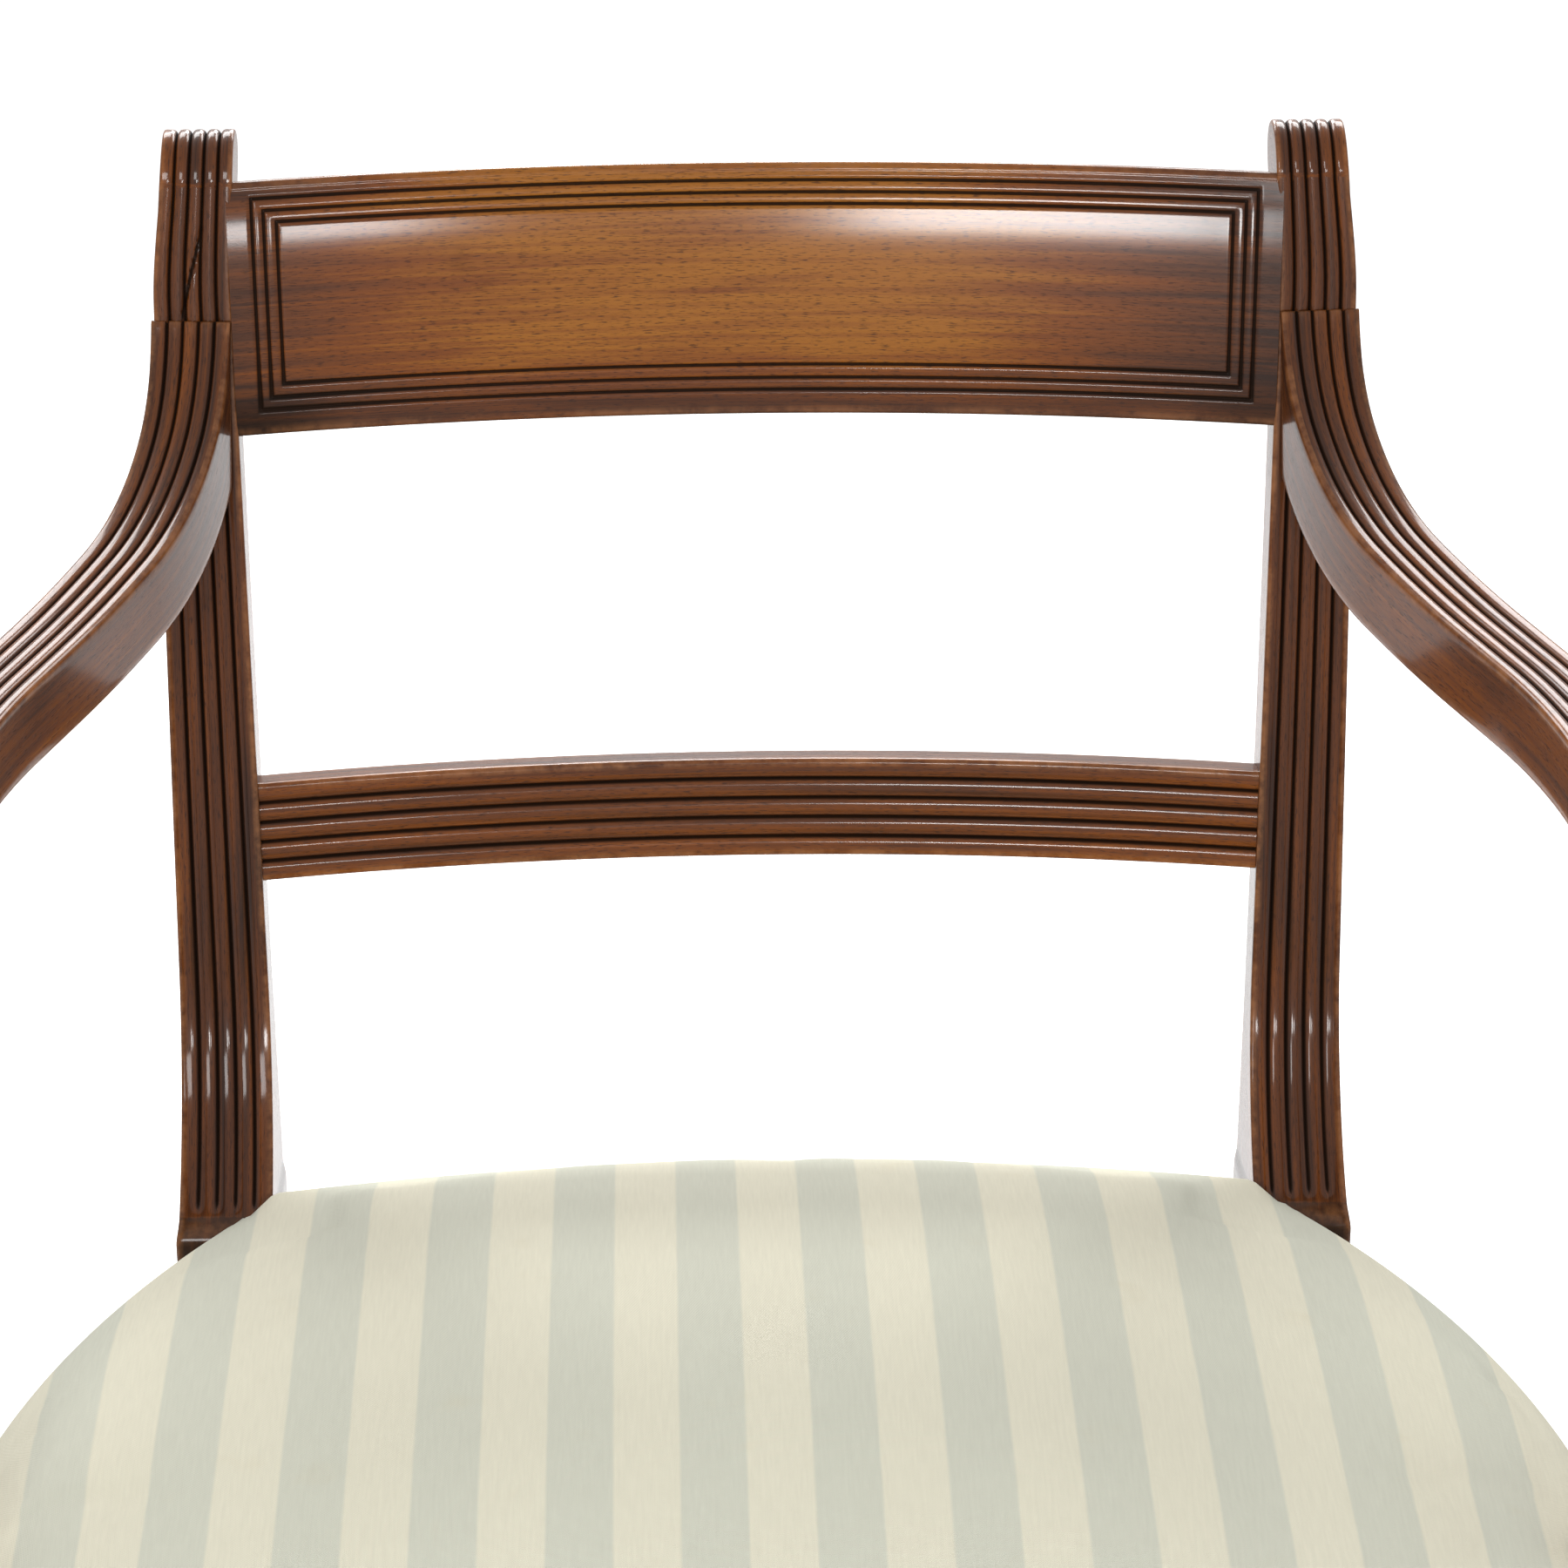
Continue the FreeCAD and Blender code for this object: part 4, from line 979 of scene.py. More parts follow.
@dataclass(frozen=True)
class Seat:
    """Stuffed-over seat: webbing, base cloth, domed stuffing, striped cover and dust lining."""

    plan: SeatPlan = SeatPlan()
    edge_z: float = 428.0
    crown: float = 52.0
    half_width: float = 289.0
    side_draw: float = 4.3
    side_height: float = 64.0
    fold_from: float = 61.0
    turn_under: float = 14.0
    free_rings: int = 5
    cells: int = 132
    floor_z: float = 421.8
    cloth: float = 1.6
    sheet: float = 0.8
    web: float = 1.4
    web_width: float = 50.0
    rise_limit: float = 2.5
    rail_edge: float = 14.0
    leg_inner_x: float = 226.0
    leg_back_y: float = -324.0

    def dome(self, inset: float, cells: int) -> tuple[Array, Array]:
        """The seat's top: ring share m gives scale sin and rise cos of a quarter turn.

        Args:
            inset: how far the form is drawn in and lowered.
            cells: cells along the grid's side.

        Returns:
            Grid of points, and the share of each from the crown to the edge.
        """
        ring, x, y = self.plan.spread(cells)
        turn = ring * np.pi / 2
        scale = np.sin(turn) * (1 - inset / self.half_width)
        z = self.edge_z + (self.crown - inset) * np.cos(turn)
        return column(x * scale, self.plan.centre_y + (y - self.plan.centre_y) * scale, z), ring

    def cover(self, cloth: "Finish") -> Piece:
        """Make the striped cover: dome, rolled edge, sides down to the hem and a turn under the rails.

        Args:
            cloth: its finish.

        Returns:
            The piece.
        """
        top, _ = self.dome(0.0, self.cells)
        n = self.cells + 1
        index = np.arange(n * n).reshape(n, n)
        top = top.reshape(-1, 3)
        border = border_of(index)
        edge = top[border]
        out = unit(np.cross(np.roll(edge, -1, 0) - np.roll(edge, 1, 0), [0, 0, 1.0]))
        out = out * np.sign((out * (edge - [0, self.plan.centre_y, 0])).sum(1).mean())
        drops = np.concatenate([np.linspace(3.5, 58, 17), [61.5, 63.4]])
        draw = self.side_draw * (drops / self.side_height) ** 1.5 + np.maximum(drops - self.fold_from, 0)
        sides = edge - out * draw[:, None, None] - column(0, 0, drops)[:, None]
        under = sides[-1] - out * self.turn_under - [0, 0, 0.2]
        lengths = np.append(drops, drops[-1] + self.turn_under)
        flat_side = edge[:, :2] + out[:, :2] * lengths[:, None, None]
        points = keep_clear(np.vstack([top, sides.reshape(-1, 3), under]))
        flat = np.vstack([top[:, :2], flat_side.reshape(-1, 2)])
        below = np.arange(n * n, len(points)).reshape(-1, len(border))
        loops = np.vstack([border, below])
        faces = grid_faces(index) + grid_faces(np.hstack([loops, loops[:, :1]]))
        hollow = np.concatenate([np.zeros(n * n), np.repeat(smooth((lengths - 45) / 25), len(border))])
        mesh = write_mesh("seat_cover", points, faces, column(*flat.T, 0), column(hollow, 0, 0), COVER_CREASE)
        face_out(mesh)
        piece = link_piece("seat_cover", mesh, cloth)
        self.settle(piece, below[self.free_rings:].ravel())
        thicken(piece, self.cloth)
        return piece

    def settle(self, piece: Piece, held: Array) -> None:
        """Let the cover swell over its stuffing: a cloth run under pressure, kept outwards and to a limit.

        Args:
            piece: the cover.
            held: indices of the vertices that are nailed or rest on the rails.
        """
        mesh = piece.data
        before = rows_of(mesh.vertices, "co")
        piece.vertex_groups.new(name="held").add(held.tolist(), 1.0, "REPLACE")
        settle = piece.modifiers.new("settle", "CLOTH")
        settle.settings.vertex_group_mass = "held"
        settle.settings.use_pressure = True
        settle.settings.uniform_pressure_force = 4.0
        settle.settings.effector_weights.gravity = 0.0
        settle.settings.quality = 5
        settle.settings.tension_stiffness = 60.0
        settle.settings.compression_stiffness = 60.0
        settle.settings.bending_stiffness = 4.0
        settle.point_cache.frame_end = CLOTH_FRAMES
        scene = bpy.context.scene
        for step in range(1, CLOTH_FRAMES + 1):
            scene.frame_set(step)
        swollen = piece.evaluated_get(bpy.context.evaluated_depsgraph_get()).to_mesh()
        after = rows_of(swollen.vertices, "co")
        piece.modifiers.remove(settle)
        piece.vertex_groups.clear()
        scene.frame_set(1)
        normals = rows_of(mesh.vertex_normals, "vector")
        limit = self.rise_limit * MM
        swell = np.maximum(((after - before) * normals).sum(1, keepdims=True), 0)
        move = limit * np.tanh(swell / limit) * normals
        placed = keep_clear((before + move) / MM - ORIGIN_SHIFT)
        mesh.vertices.foreach_set("co", ((placed + ORIGIN_SHIFT) * MM).ravel())
        mesh.update()
        LOG.info("seat_cover settled, moved %.2f mm at most", float(np.abs(move).max() / MM))

    def stuffing(self, fill: "Finish") -> Piece:
        """Make the domed pad: the cover's dome lowered, closed by a flat floor on the base cloth.

        Args:
            fill: its finish.

        Returns:
            The piece.
        """
        inset = self.cloth + 0.6
        top, ring = self.dome(inset, 60)
        lump = 0.5 * np.sin(top[..., 0] / 17) * np.sin(top[..., 1] / 21) * (1 - ring ** 4)
        top = top + lump[..., None] * [0, 0, -1] - [0, 0, 0.6]
        base = column(top[..., 0], top[..., 1], self.floor_z)
        index = np.arange(ring.size).reshape(ring.shape)
        border = border_of(index)
        loop = np.append(border, border[0])
        wall = np.vstack([loop, loop + ring.size])
        faces = grid_faces(index) + grid_faces(index[::-1] + ring.size) + grid_faces(wall)
        points = keep_clear(np.vstack([top.reshape(-1, 3), base.reshape(-1, 3)]))
        mesh = write_mesh("seat_stuffing", points, faces, points, points * 0, CLOTH_CREASE)
        face_out(mesh)
        piece = link_piece("seat_stuffing", mesh, fill)
        return piece

    def flat_cloth(self, name: str, z: float, scale: float, sag: float, cloth: "Finish") -> Piece:
        """Make a flat cloth of the seat's plan, sagging a little in the middle between its nails.

        Args:
            name: name of the piece and of the solid.
            z: height of its upper face.
            scale: its size against the seat's plan.
            sag: how far its middle hangs down.
            cloth: its finish.

        Returns:
            The piece.
        """
        ring, x, y = self.plan.spread(64)
        size = ring * scale
        y = self.plan.centre_y + (y - self.plan.centre_y) * size
        points = keep_clear(column(x * size, y, z - sag * (1 - ring ** 2)).reshape(-1, 3))
        in_leg = (np.abs(points[:, 0]) > self.leg_inner_x) & (points[:, 1] < self.leg_back_y)
        points[in_leg, 1] = self.leg_back_y
        index = np.arange(ring.size).reshape(ring.shape)
        mesh = write_mesh(name, points, grid_faces(index), points, points * 0, CLOTH_CREASE)
        face_out(mesh)
        piece = link_piece(name, mesh, cloth)
        thicken(piece, self.sheet)
        return piece

    def webbing(self, name: str, places: tuple[float, ...], z: float, lengthwise: bool,
                jute: "Finish") -> Piece:
        """Make one layer of strips, stretched from rail to rail.

        Args:
            name: name of the piece and of the solid.
            places: middles of the strips.
            z: height of their undersides.
            lengthwise: whether they run from front to back.
            jute: their finish.

        Returns:
            The piece.
        """
        low, high = (np.array(corner) / MM - ORIGIN_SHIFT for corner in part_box(name))
        axis = 1 if lengthwise else 0
        run = np.linspace(low[axis] + 1, high[axis] - 1, 60)
        across = np.linspace(-0.5, 0.5, 7) * self.web_width
        runs, offs = np.meshgrid(run, across, indexing="ij")
        if lengthwise:
            grids = [column(place + offs, runs, z + self.web) for place in places]
        else:
            half = 0.5 * (high[0] - low[0])
            grids = [column(runs * self.reach(place) / half, place + offs, z + self.web) for place in places]
        points = np.concatenate([grid.reshape(-1, 3) for grid in grids])
        index = np.arange(runs.size).reshape(runs.shape)
        faces = [face for k in range(len(places)) for face in grid_faces(index + k * runs.size)]
        grain = np.tile(column(offs, runs, 0).reshape(-1, 3), (len(places), 1))
        mesh = write_mesh(name, points, faces, grain, points * 0, CLOTH_CREASE)
        face_out(mesh)
        piece = link_piece(name, mesh, jute)
        thicken(piece, self.web)
        return piece

    def reach(self, y: float) -> float:
        """Half of the seat frame's width at a place, less what the cover and the rails' edge take."""
        x, at = self.plan.outline(PLAN_STEPS).T
        return float(x[np.abs(at - y) < 4].max()) - self.rail_edge


def rows_of(items: bpy.types.bpy_prop_collection, key: str) -> Array:
    """A vector property of all items, as rows.

    Args:
        items: vertices or normals of a mesh.
        key: name of the property.

    Returns:
        Rows of three numbers.
    """
    found = np.empty(len(items) * 3)
    items.foreach_get(key, found)
    return found.reshape(-1, 3)


def face_out(mesh: Mesh) -> None:
    """Turn a mesh's faces outwards: those of its upper half have to look upwards.

    Args:
        mesh: the mesh, changed in place.
    """
    shell = bmesh.new()
    shell.from_mesh(mesh)
    bmesh.ops.recalc_face_normals(shell, faces=shell.faces)
    heights = [face.calc_center_median().z for face in shell.faces]
    middle = (min(heights) + max(heights)) / 2
    upper = [face for face, height in zip(shell.faces, heights) if height >= middle]
    if sum(face.normal.z * face.calc_area() for face in upper) < 0:
        bmesh.ops.reverse_faces(shell, faces=shell.faces)
    shell.to_mesh(mesh)
    shell.free()


def thicken(piece: Piece, thickness: float) -> None:
    """Give a cloth its thickness, inwards from its face, in millimetres.

    Args:
        piece: the cloth.
        thickness: its thickness.
    """
    wall = piece.modifiers.new("cloth thickness", "SOLIDIFY")
    wall.thickness = thickness * MM
    wall.offset = -1.0


class Wires:
    """Short words for laying out the nodes of a shader or of a node group."""

    def __init__(self, tree: Tree) -> None:
        """Start on a tree."""
        self.tree = tree

    def add(self, kind: str, **inputs: object) -> Node:
        """Add a node; a name in lower case is a property, another one an input's value or the socket for it.

        Args:
            kind: the node's type without its prefix.
            inputs: properties, and inputs with underscores for spaces.

        Returns:
            The node.
        """
        node = self.tree.nodes.new("ShaderNode" + kind)
        for key, value in inputs.items():
            if key.islower():
                setattr(node, key, value)
                continue
            self.feed(node.inputs[key.replace("_", " ")], value)
        return node

    def feed(self, socket: Socket, value: object) -> None:
        """Link a socket to an input, or set the input's value.

        Args:
            socket: the input.
            value: a socket to link, or the input's value.
        """
        if isinstance(value, Socket):
            self.tree.links.new(value, socket)
        else:
            socket.default_value = value

    def math(self, operation: str, *values: object, clamp: bool = False) -> Socket:
        """Result of a Math node on sockets or numbers.

        Args:
            operation: what it does.
            values: its inputs in order.
            clamp: whether to keep it from 0 to 1.

        Returns:
            Its output.
        """
        node = self.tree.nodes.new("ShaderNodeMath")
        node.operation, node.use_clamp = operation, clamp
        for socket, value in zip(node.inputs, values):
            self.feed(socket, value)
        return node.outputs[0]

    def mix(self, share: object, first: object, second: object, blend: str = "MIX") -> Socket:
        """Colour between two colours.

        Args:
            share: how much of the second.
            first, second: the colours.
            blend: how they are blended.

        Returns:
            The colour's socket.
        """
        node = self.tree.nodes.new("ShaderNodeMix")
        node.data_type, node.blend_type = "RGBA", blend
        for place, value in zip((0, 6, 7), (share, first, second)):
            self.feed(node.inputs[place], value)
        return node.outputs[2]

    def scaled(self, vector: object, scale: Place) -> Socket:
        """A vector stretched along its axes.

        Args:
            vector: the vector's socket.
            scale: factor along each axis.

        Returns:
            The stretched vector.
        """
        node = self.add("VectorMath", operation="MULTIPLY")
        self.feed(node.inputs[0], vector)
        node.inputs[1].default_value = scale
        return node.outputs[0]

    def noise(self, vector: object, detail: float, roughness: float, distortion: float = 0.0) -> Socket:
        """Noise of one cell per unit of the vector.

        Args:
            vector: where it is taken.
            detail, roughness, distortion: its character.

        Returns:
            The noise.
        """
        node = self.add("TexNoise", Scale=1.0, Detail=detail, Roughness=roughness, Distortion=distortion)
        self.feed(node.inputs["Vector"], vector)
        return node.outputs["Fac"]

    def between(self, value: object, low: float, high: float) -> Socket:
        """Share from 0 at low to 1 at high, eased.

        Args:
            value: what is compared.
            low, high: the two ends.

        Returns:
            The share.
        """
        node = self.add("MapRange", interpolation_type="SMOOTHSTEP")
        self.feed(node.inputs["Value"], value)
        node.inputs["From Min"].default_value = low
        node.inputs["From Max"].default_value = high
        return node.outputs["Result"]

    def seen(self) -> Socket:
        """1 for rays that show a thing to the camera, also through gloss and glass, and 0 for other rays.

        Returns:
            The number's socket.
        """
        path = self.add("LightPath")
        kinds = ("Camera", "Glossy", "Transmission")
        camera, gloss, glass = (path.outputs[f"Is {kind} Ray"] for kind in kinds)
        return self.math("MAXIMUM", self.math("MAXIMUM", camera, gloss), glass)

    def group(self, tree: Tree, **inputs: object) -> Node:
        """Place a node group with its own values.

        Args:
            tree: the group.
            inputs: its inputs' values or sockets.

        Returns:
            The node.
        """
        node = self.tree.nodes.new("ShaderNodeGroup")
        node.node_tree = tree
        for key, value in inputs.items():
            self.feed(node.inputs[key], value)
        return node


def new_group(name: str, inputs: dict[str, float | None],
              outputs: tuple[str, ...]) -> tuple[Wires, Node, Node]:
    """Start a node group with named sockets.

    Args:
        name: name of the group.
        inputs: input names; None is a vector, a number is a value's default.
        outputs: names of the values put out.

    Returns:
        Its wires, its input node and its output node.
    """
    tree = bpy.data.node_groups.new(name, "ShaderNodeTree")
    for key, value in inputs.items():
        kind = "NodeSocketVector" if value is None else "NodeSocketFloat"
        socket = tree.interface.new_socket(key, in_out="INPUT", socket_type=kind)
        if value is not None:
            socket.default_value = value
    for key in outputs:
        tree.interface.new_socket(key, in_out="OUTPUT", socket_type="NodeSocketFloat")
    return Wires(tree), tree.nodes.new("NodeGroupInput"), tree.nodes.new("NodeGroupOutput")


def wood_grain() -> Tree:
    """Group: streaks, broad figure and short dark pores that run along the grain, from stretched noise.

    Returns:
        The group.
    """
    made = bpy.data.node_groups.get("wood_grain")
    if made:
        return made
    w, source, sink = new_group("wood_grain", {"Grain": None}, ("Streak", "Figure", "Pores"))
    grain = source.outputs["Grain"]
    streak = w.noise(w.scaled(grain, (7, 420, 420)), 4, 0.62, 0.3)
    figure = w.noise(w.scaled(grain, (5, 42, 42)), 3, 0.55, 0.9)
    fine = w.noise(w.scaled(grain, (240, 2300, 2300)), 2, 0.5)
    w.feed(sink.inputs["Streak"], streak)
    w.feed(sink.inputs["Figure"], figure)
    w.feed(sink.inputs["Pores"], w.between(fine, 0.54, 0.68))
    return w.tree


def wear_and_sheen() -> Tree:
    """Group: dirt in hollows and in blotches, and arrises made pale in places, as wear and painted highlight.

    Returns:
        The group.
    """
    made = bpy.data.node_groups.get("wear_and_sheen")
    if made:
        return made
    w, source, sink = new_group("wear_and_sheen", {"Place": None, "Hollow": 0.0, "Worn": 0.0}, ("Dirt", "RubAndSheen"))
    place = source.outputs["Place"]
    blotch = w.noise(w.scaled(place, (38, 38, 38)), 4, 0.6)
    fleck = w.noise(w.scaled(place, (260, 260, 260)), 3, 0.6)
    deep = w.between(source.outputs["Hollow"], 0.16, 0.62)
    smear = w.math("MULTIPLY", w.between(blotch, 0.6, 0.84), 0.3)
    w.feed(sink.inputs["Dirt"], w.math("MAXIMUM", deep, smear))
    uneven = w.between(w.math("ADD", blotch, w.math("MULTIPLY", fleck, 0.5)), 0.55, 0.95)
    w.feed(sink.inputs["RubAndSheen"], w.math("MULTIPLY", source.outputs["Worn"], uneven))
    return w.tree


def woven() -> Tree:
    """Group: plain weave of two crossed sine waves, with threads of uneven shade.

    Returns:
        The group.
    """
    made = bpy.data.node_groups.get("woven")
    if made:
        return made
    w, source, sink = new_group("woven", {"Cloth": None, "Threads": 900.0}, ("Shade", "Height"))
    parts = w.add("SeparateXYZ")
    w.feed(parts.inputs[0], source.outputs["Cloth"])
    count = w.math("MULTIPLY", source.outputs["Threads"], 2 * math.pi)
    warp = w.math("SINE", w.math("MULTIPLY", parts.outputs["X"], count))
    weft = w.math("SINE", w.math("MULTIPLY", parts.outputs["Y"], count))
    cross = w.math("MULTIPLY", warp, weft)
    slub = w.noise(w.scaled(source.outputs["Cloth"], (900, 60, 60)), 3, 0.6)
    weave = w.math("MULTIPLY_ADD", cross, 0.5, 0.5)
    w.feed(sink.inputs["Height"], w.math("MULTIPLY_ADD", slub, 0.5, weave))
    w.feed(sink.inputs["Shade"], w.math("MULTIPLY_ADD", weave, 0.35, w.math("MULTIPLY", slub, 0.65)))
    return w.tree


@dataclass(frozen=True)
class Finish:
    """A finish: its record slot and a material that is made once."""

    slot: str
    label: str = ""

    def material(self) -> bpy.types.Material:
        """The finish's material, made on first use.

        Returns:
            The material.
        """
        name = self.label or self.slot
        made = bpy.data.materials.get("finish_" + name)
        if made:
            return made
        made = bpy.data.materials.new("finish_" + name)
        made.use_nodes = True
        wires = Wires(made.node_tree)
        self.lay(wires, made.node_tree.nodes["Principled BSDF"])
        return made

    def lay(self, w: Wires, shader: Node) -> None:
        """Lay out the nodes; each finish does this in its own way."""
        raise NotImplementedError

    def place(self, w: Wires, name: str) -> Socket:
        """Vector of an attribute of the piece."""
        return w.add("Attribute", attribute_name=name).outputs["Vector"]

    def bump(self, w: Wires, shader: Node, strength: float, distance: float, height: Socket) -> None:
        """Roughen the surface by a height."""
        bump = w.add("Bump", Strength=strength, Distance=distance, Height=height)
        w.feed(shader.inputs["Normal"], bump.outputs["Normal"])


@dataclass(frozen=True)
class Wood(Finish):
    """Polished wood: colours by figure and streaks, dirt in hollows, arrises paled by wear and painted
    highlight, a thin coat.
    """

    dark: Colour = (0.026, 0.009, 0.004, 1)
    brown: Colour = (0.092, 0.026, 0.006, 1)
    red: Colour = (0.175, 0.046, 0.004, 1)
    gold: Colour = (0.290, 0.100, 0.007, 1)
    grime: Colour = (0.010, 0.006, 0.004, 1)
    # pale colour of the arrises: real wear together with a painted highlight along them
    rubbed_and_sheen: Colour = (0.330, 0.135, 0.050, 1)
    grain_from: GrainFrom = GrainFrom.BAR
    polish: float = 0.4

    def lay(self, w: Wires, shader: Node) -> None:
        """Colour, gloss and bump of the wood.

        Args:
            w: wires of the material's tree.
            shader: its surface shader.
        """
        if self.grain_from is GrainFrom.BAR:
            grain = self.place(w, "grain")
        else:
            grain = w.add("TexCoord").outputs["Object"]
        marks = w.add("SeparateXYZ", Vector=self.place(w, "patina_and_light"))
        fibre = w.group(wood_grain(), Grain=grain)
        dirt_and_sheen = w.group(wear_and_sheen(), Place=grain, Hollow=marks.outputs["X"], Worn=marks.outputs["Y"])
        streaks = w.math("MULTIPLY", fibre.outputs["Streak"], 0.85)
        tone = w.math("MULTIPLY_ADD", fibre.outputs["Figure"], 0.75, streaks)
        tone = w.math("ADD", tone, w.math("SUBTRACT", marks.outputs["Z"], 0.78))
        shades = w.add("ValToRGB", Fac=tone)
        ramp = shades.color_ramp
        ramp.elements[0].color, ramp.elements[1].color = self.dark, self.gold
        ramp.elements[0].position, ramp.elements[1].position = 0.12, 0.86
        ramp.elements.new(0.36).color = self.brown
        ramp.elements.new(0.6).color = self.red
        body = w.mix(w.math("MULTIPLY", fibre.outputs["Pores"], 0.7), shades.outputs["Color"], self.dark)
        body = w.mix(w.math("MULTIPLY", dirt_and_sheen.outputs["Dirt"], 0.93), body, self.grime)
        # arrises painted paler: wear, and a painted highlight along the edges
        body = w.mix(w.math("MULTIPLY", dirt_and_sheen.outputs["RubAndSheen"], 0.6), body, self.rubbed_and_sheen)
        w.feed(shader.inputs["Base Color"], body)
        rough = w.math("MULTIPLY_ADD", dirt_and_sheen.outputs["Dirt"], 0.3, 0.34)
        w.feed(shader.inputs["Roughness"], w.math("MULTIPLY_ADD", fibre.outputs["Pores"], 0.15, rough))
        coat = w.math("MULTIPLY_ADD", dirt_and_sheen.outputs["Dirt"], -0.8 * self.polish, self.polish)
        w.feed(shader.inputs["Coat Weight"], coat)
        shader.inputs["Coat Roughness"].default_value = 0.1
        shader.inputs["Specular IOR Level"].default_value = 0.05
        ridges = w.math("MULTIPLY", fibre.outputs["Streak"], 0.5)
        self.bump(w, shader, 0.25, 0.0004, w.math("MULTIPLY_ADD", fibre.outputs["Pores"], -0.6, ridges))


@dataclass(frozen=True)
class StripedCloth(Finish):
    """Ribbed cotton in two pale stripes that run from front to back."""

    cream: Colour = (0.662, 0.637, 0.512, 1)
    grey_blue: Colour = (0.555, 0.560, 0.470, 1)
    stain: Colour = (0.55, 0.47, 0.30, 1)
    pitch: float = 0.0223

    def lay(self, w: Wires, shader: Node) -> None:
        """Stripes by the cloth's own flat x, with soft edges, weave shade and a few faint stains.

        Args:
            w: wires of the material's tree.
            shader: its surface shader.
        """
        flat = self.place(w, "grain")
        x = w.add("SeparateXYZ", Vector=flat).outputs["X"]
        wave = w.math("COSINE", w.math("MULTIPLY", x, math.pi / self.pitch))
        stripe = w.between(wave, -0.10, 0.10)
        weave = w.group(woven(), Cloth=flat, Threads=1100.0)
        colour = w.mix(stripe, self.grey_blue, self.cream)
        shade = w.math("MULTIPLY_ADD", weave.outputs["Shade"], 0.22, 0.89)
        tint = w.add("CombineColor", Red=shade, Green=shade, Blue=shade).outputs["Color"]
        colour = w.mix(1.0, colour, tint, "MULTIPLY")
        spots = w.between(w.noise(w.scaled(flat, (30, 30, 30)), 3, 0.55), 0.62, 0.78)
        colour = w.mix(w.math("MULTIPLY", spots, 0.14), colour, self.stain)
        w.feed(shader.inputs["Base Color"], colour)
        shader.inputs["Roughness"].default_value = 0.88
        shader.inputs["Specular IOR Level"].default_value = 0.2
        self.bump(w, shader, 0.35, 0.0004, weave.outputs["Height"])


@dataclass(frozen=True)
class PlainCloth(Finish):
    """Plain woven cloth or felted filling in one natural colour."""

    light: Colour = (0.45, 0.33, 0.19, 1)
    deep: Colour = (0.24, 0.16, 0.08, 1)
    threads: float = 420.0

    def lay(self, w: Wires, shader: Node) -> None:
        """Two shades by the weave, and a bump from it.

        Args:
            w: wires of the material's tree.
            shader: its surface shader.
        """
        weave = w.group(woven(), Cloth=self.place(w, "grain"), Threads=self.threads)
        w.feed(shader.inputs["Base Color"], w.mix(weave.outputs["Shade"], self.deep, self.light))
        shader.inputs["Roughness"].default_value = 0.9
        self.bump(w, shader, 0.6, 0.0008, weave.outputs["Height"])


@dataclass(frozen=True)
class Steel(Finish):
    """Blackened steel of screws and tacks, with paler rubbed spots."""

    black: Colour = (0.06, 0.06, 0.065, 1)
    bright: Colour = (0.35, 0.34, 0.33, 1)

    def lay(self, w: Wires, shader: Node) -> None:
        """Metal whose colour and gloss change in spots.

        Args:
            w: wires of the material's tree.
            shader: its surface shader.
        """
        place = w.scaled(w.add("TexCoord").outputs["Object"], (900, 900, 900))
        spots = w.between(w.noise(place, 3, 0.6), 0.4, 0.7)
        w.feed(shader.inputs["Base Color"], w.mix(spots, self.black, self.bright))
        w.feed(shader.inputs["Roughness"], w.math("MULTIPLY_ADD", spots, -0.25, 0.55))
        shader.inputs["Metallic"].default_value = 1.0


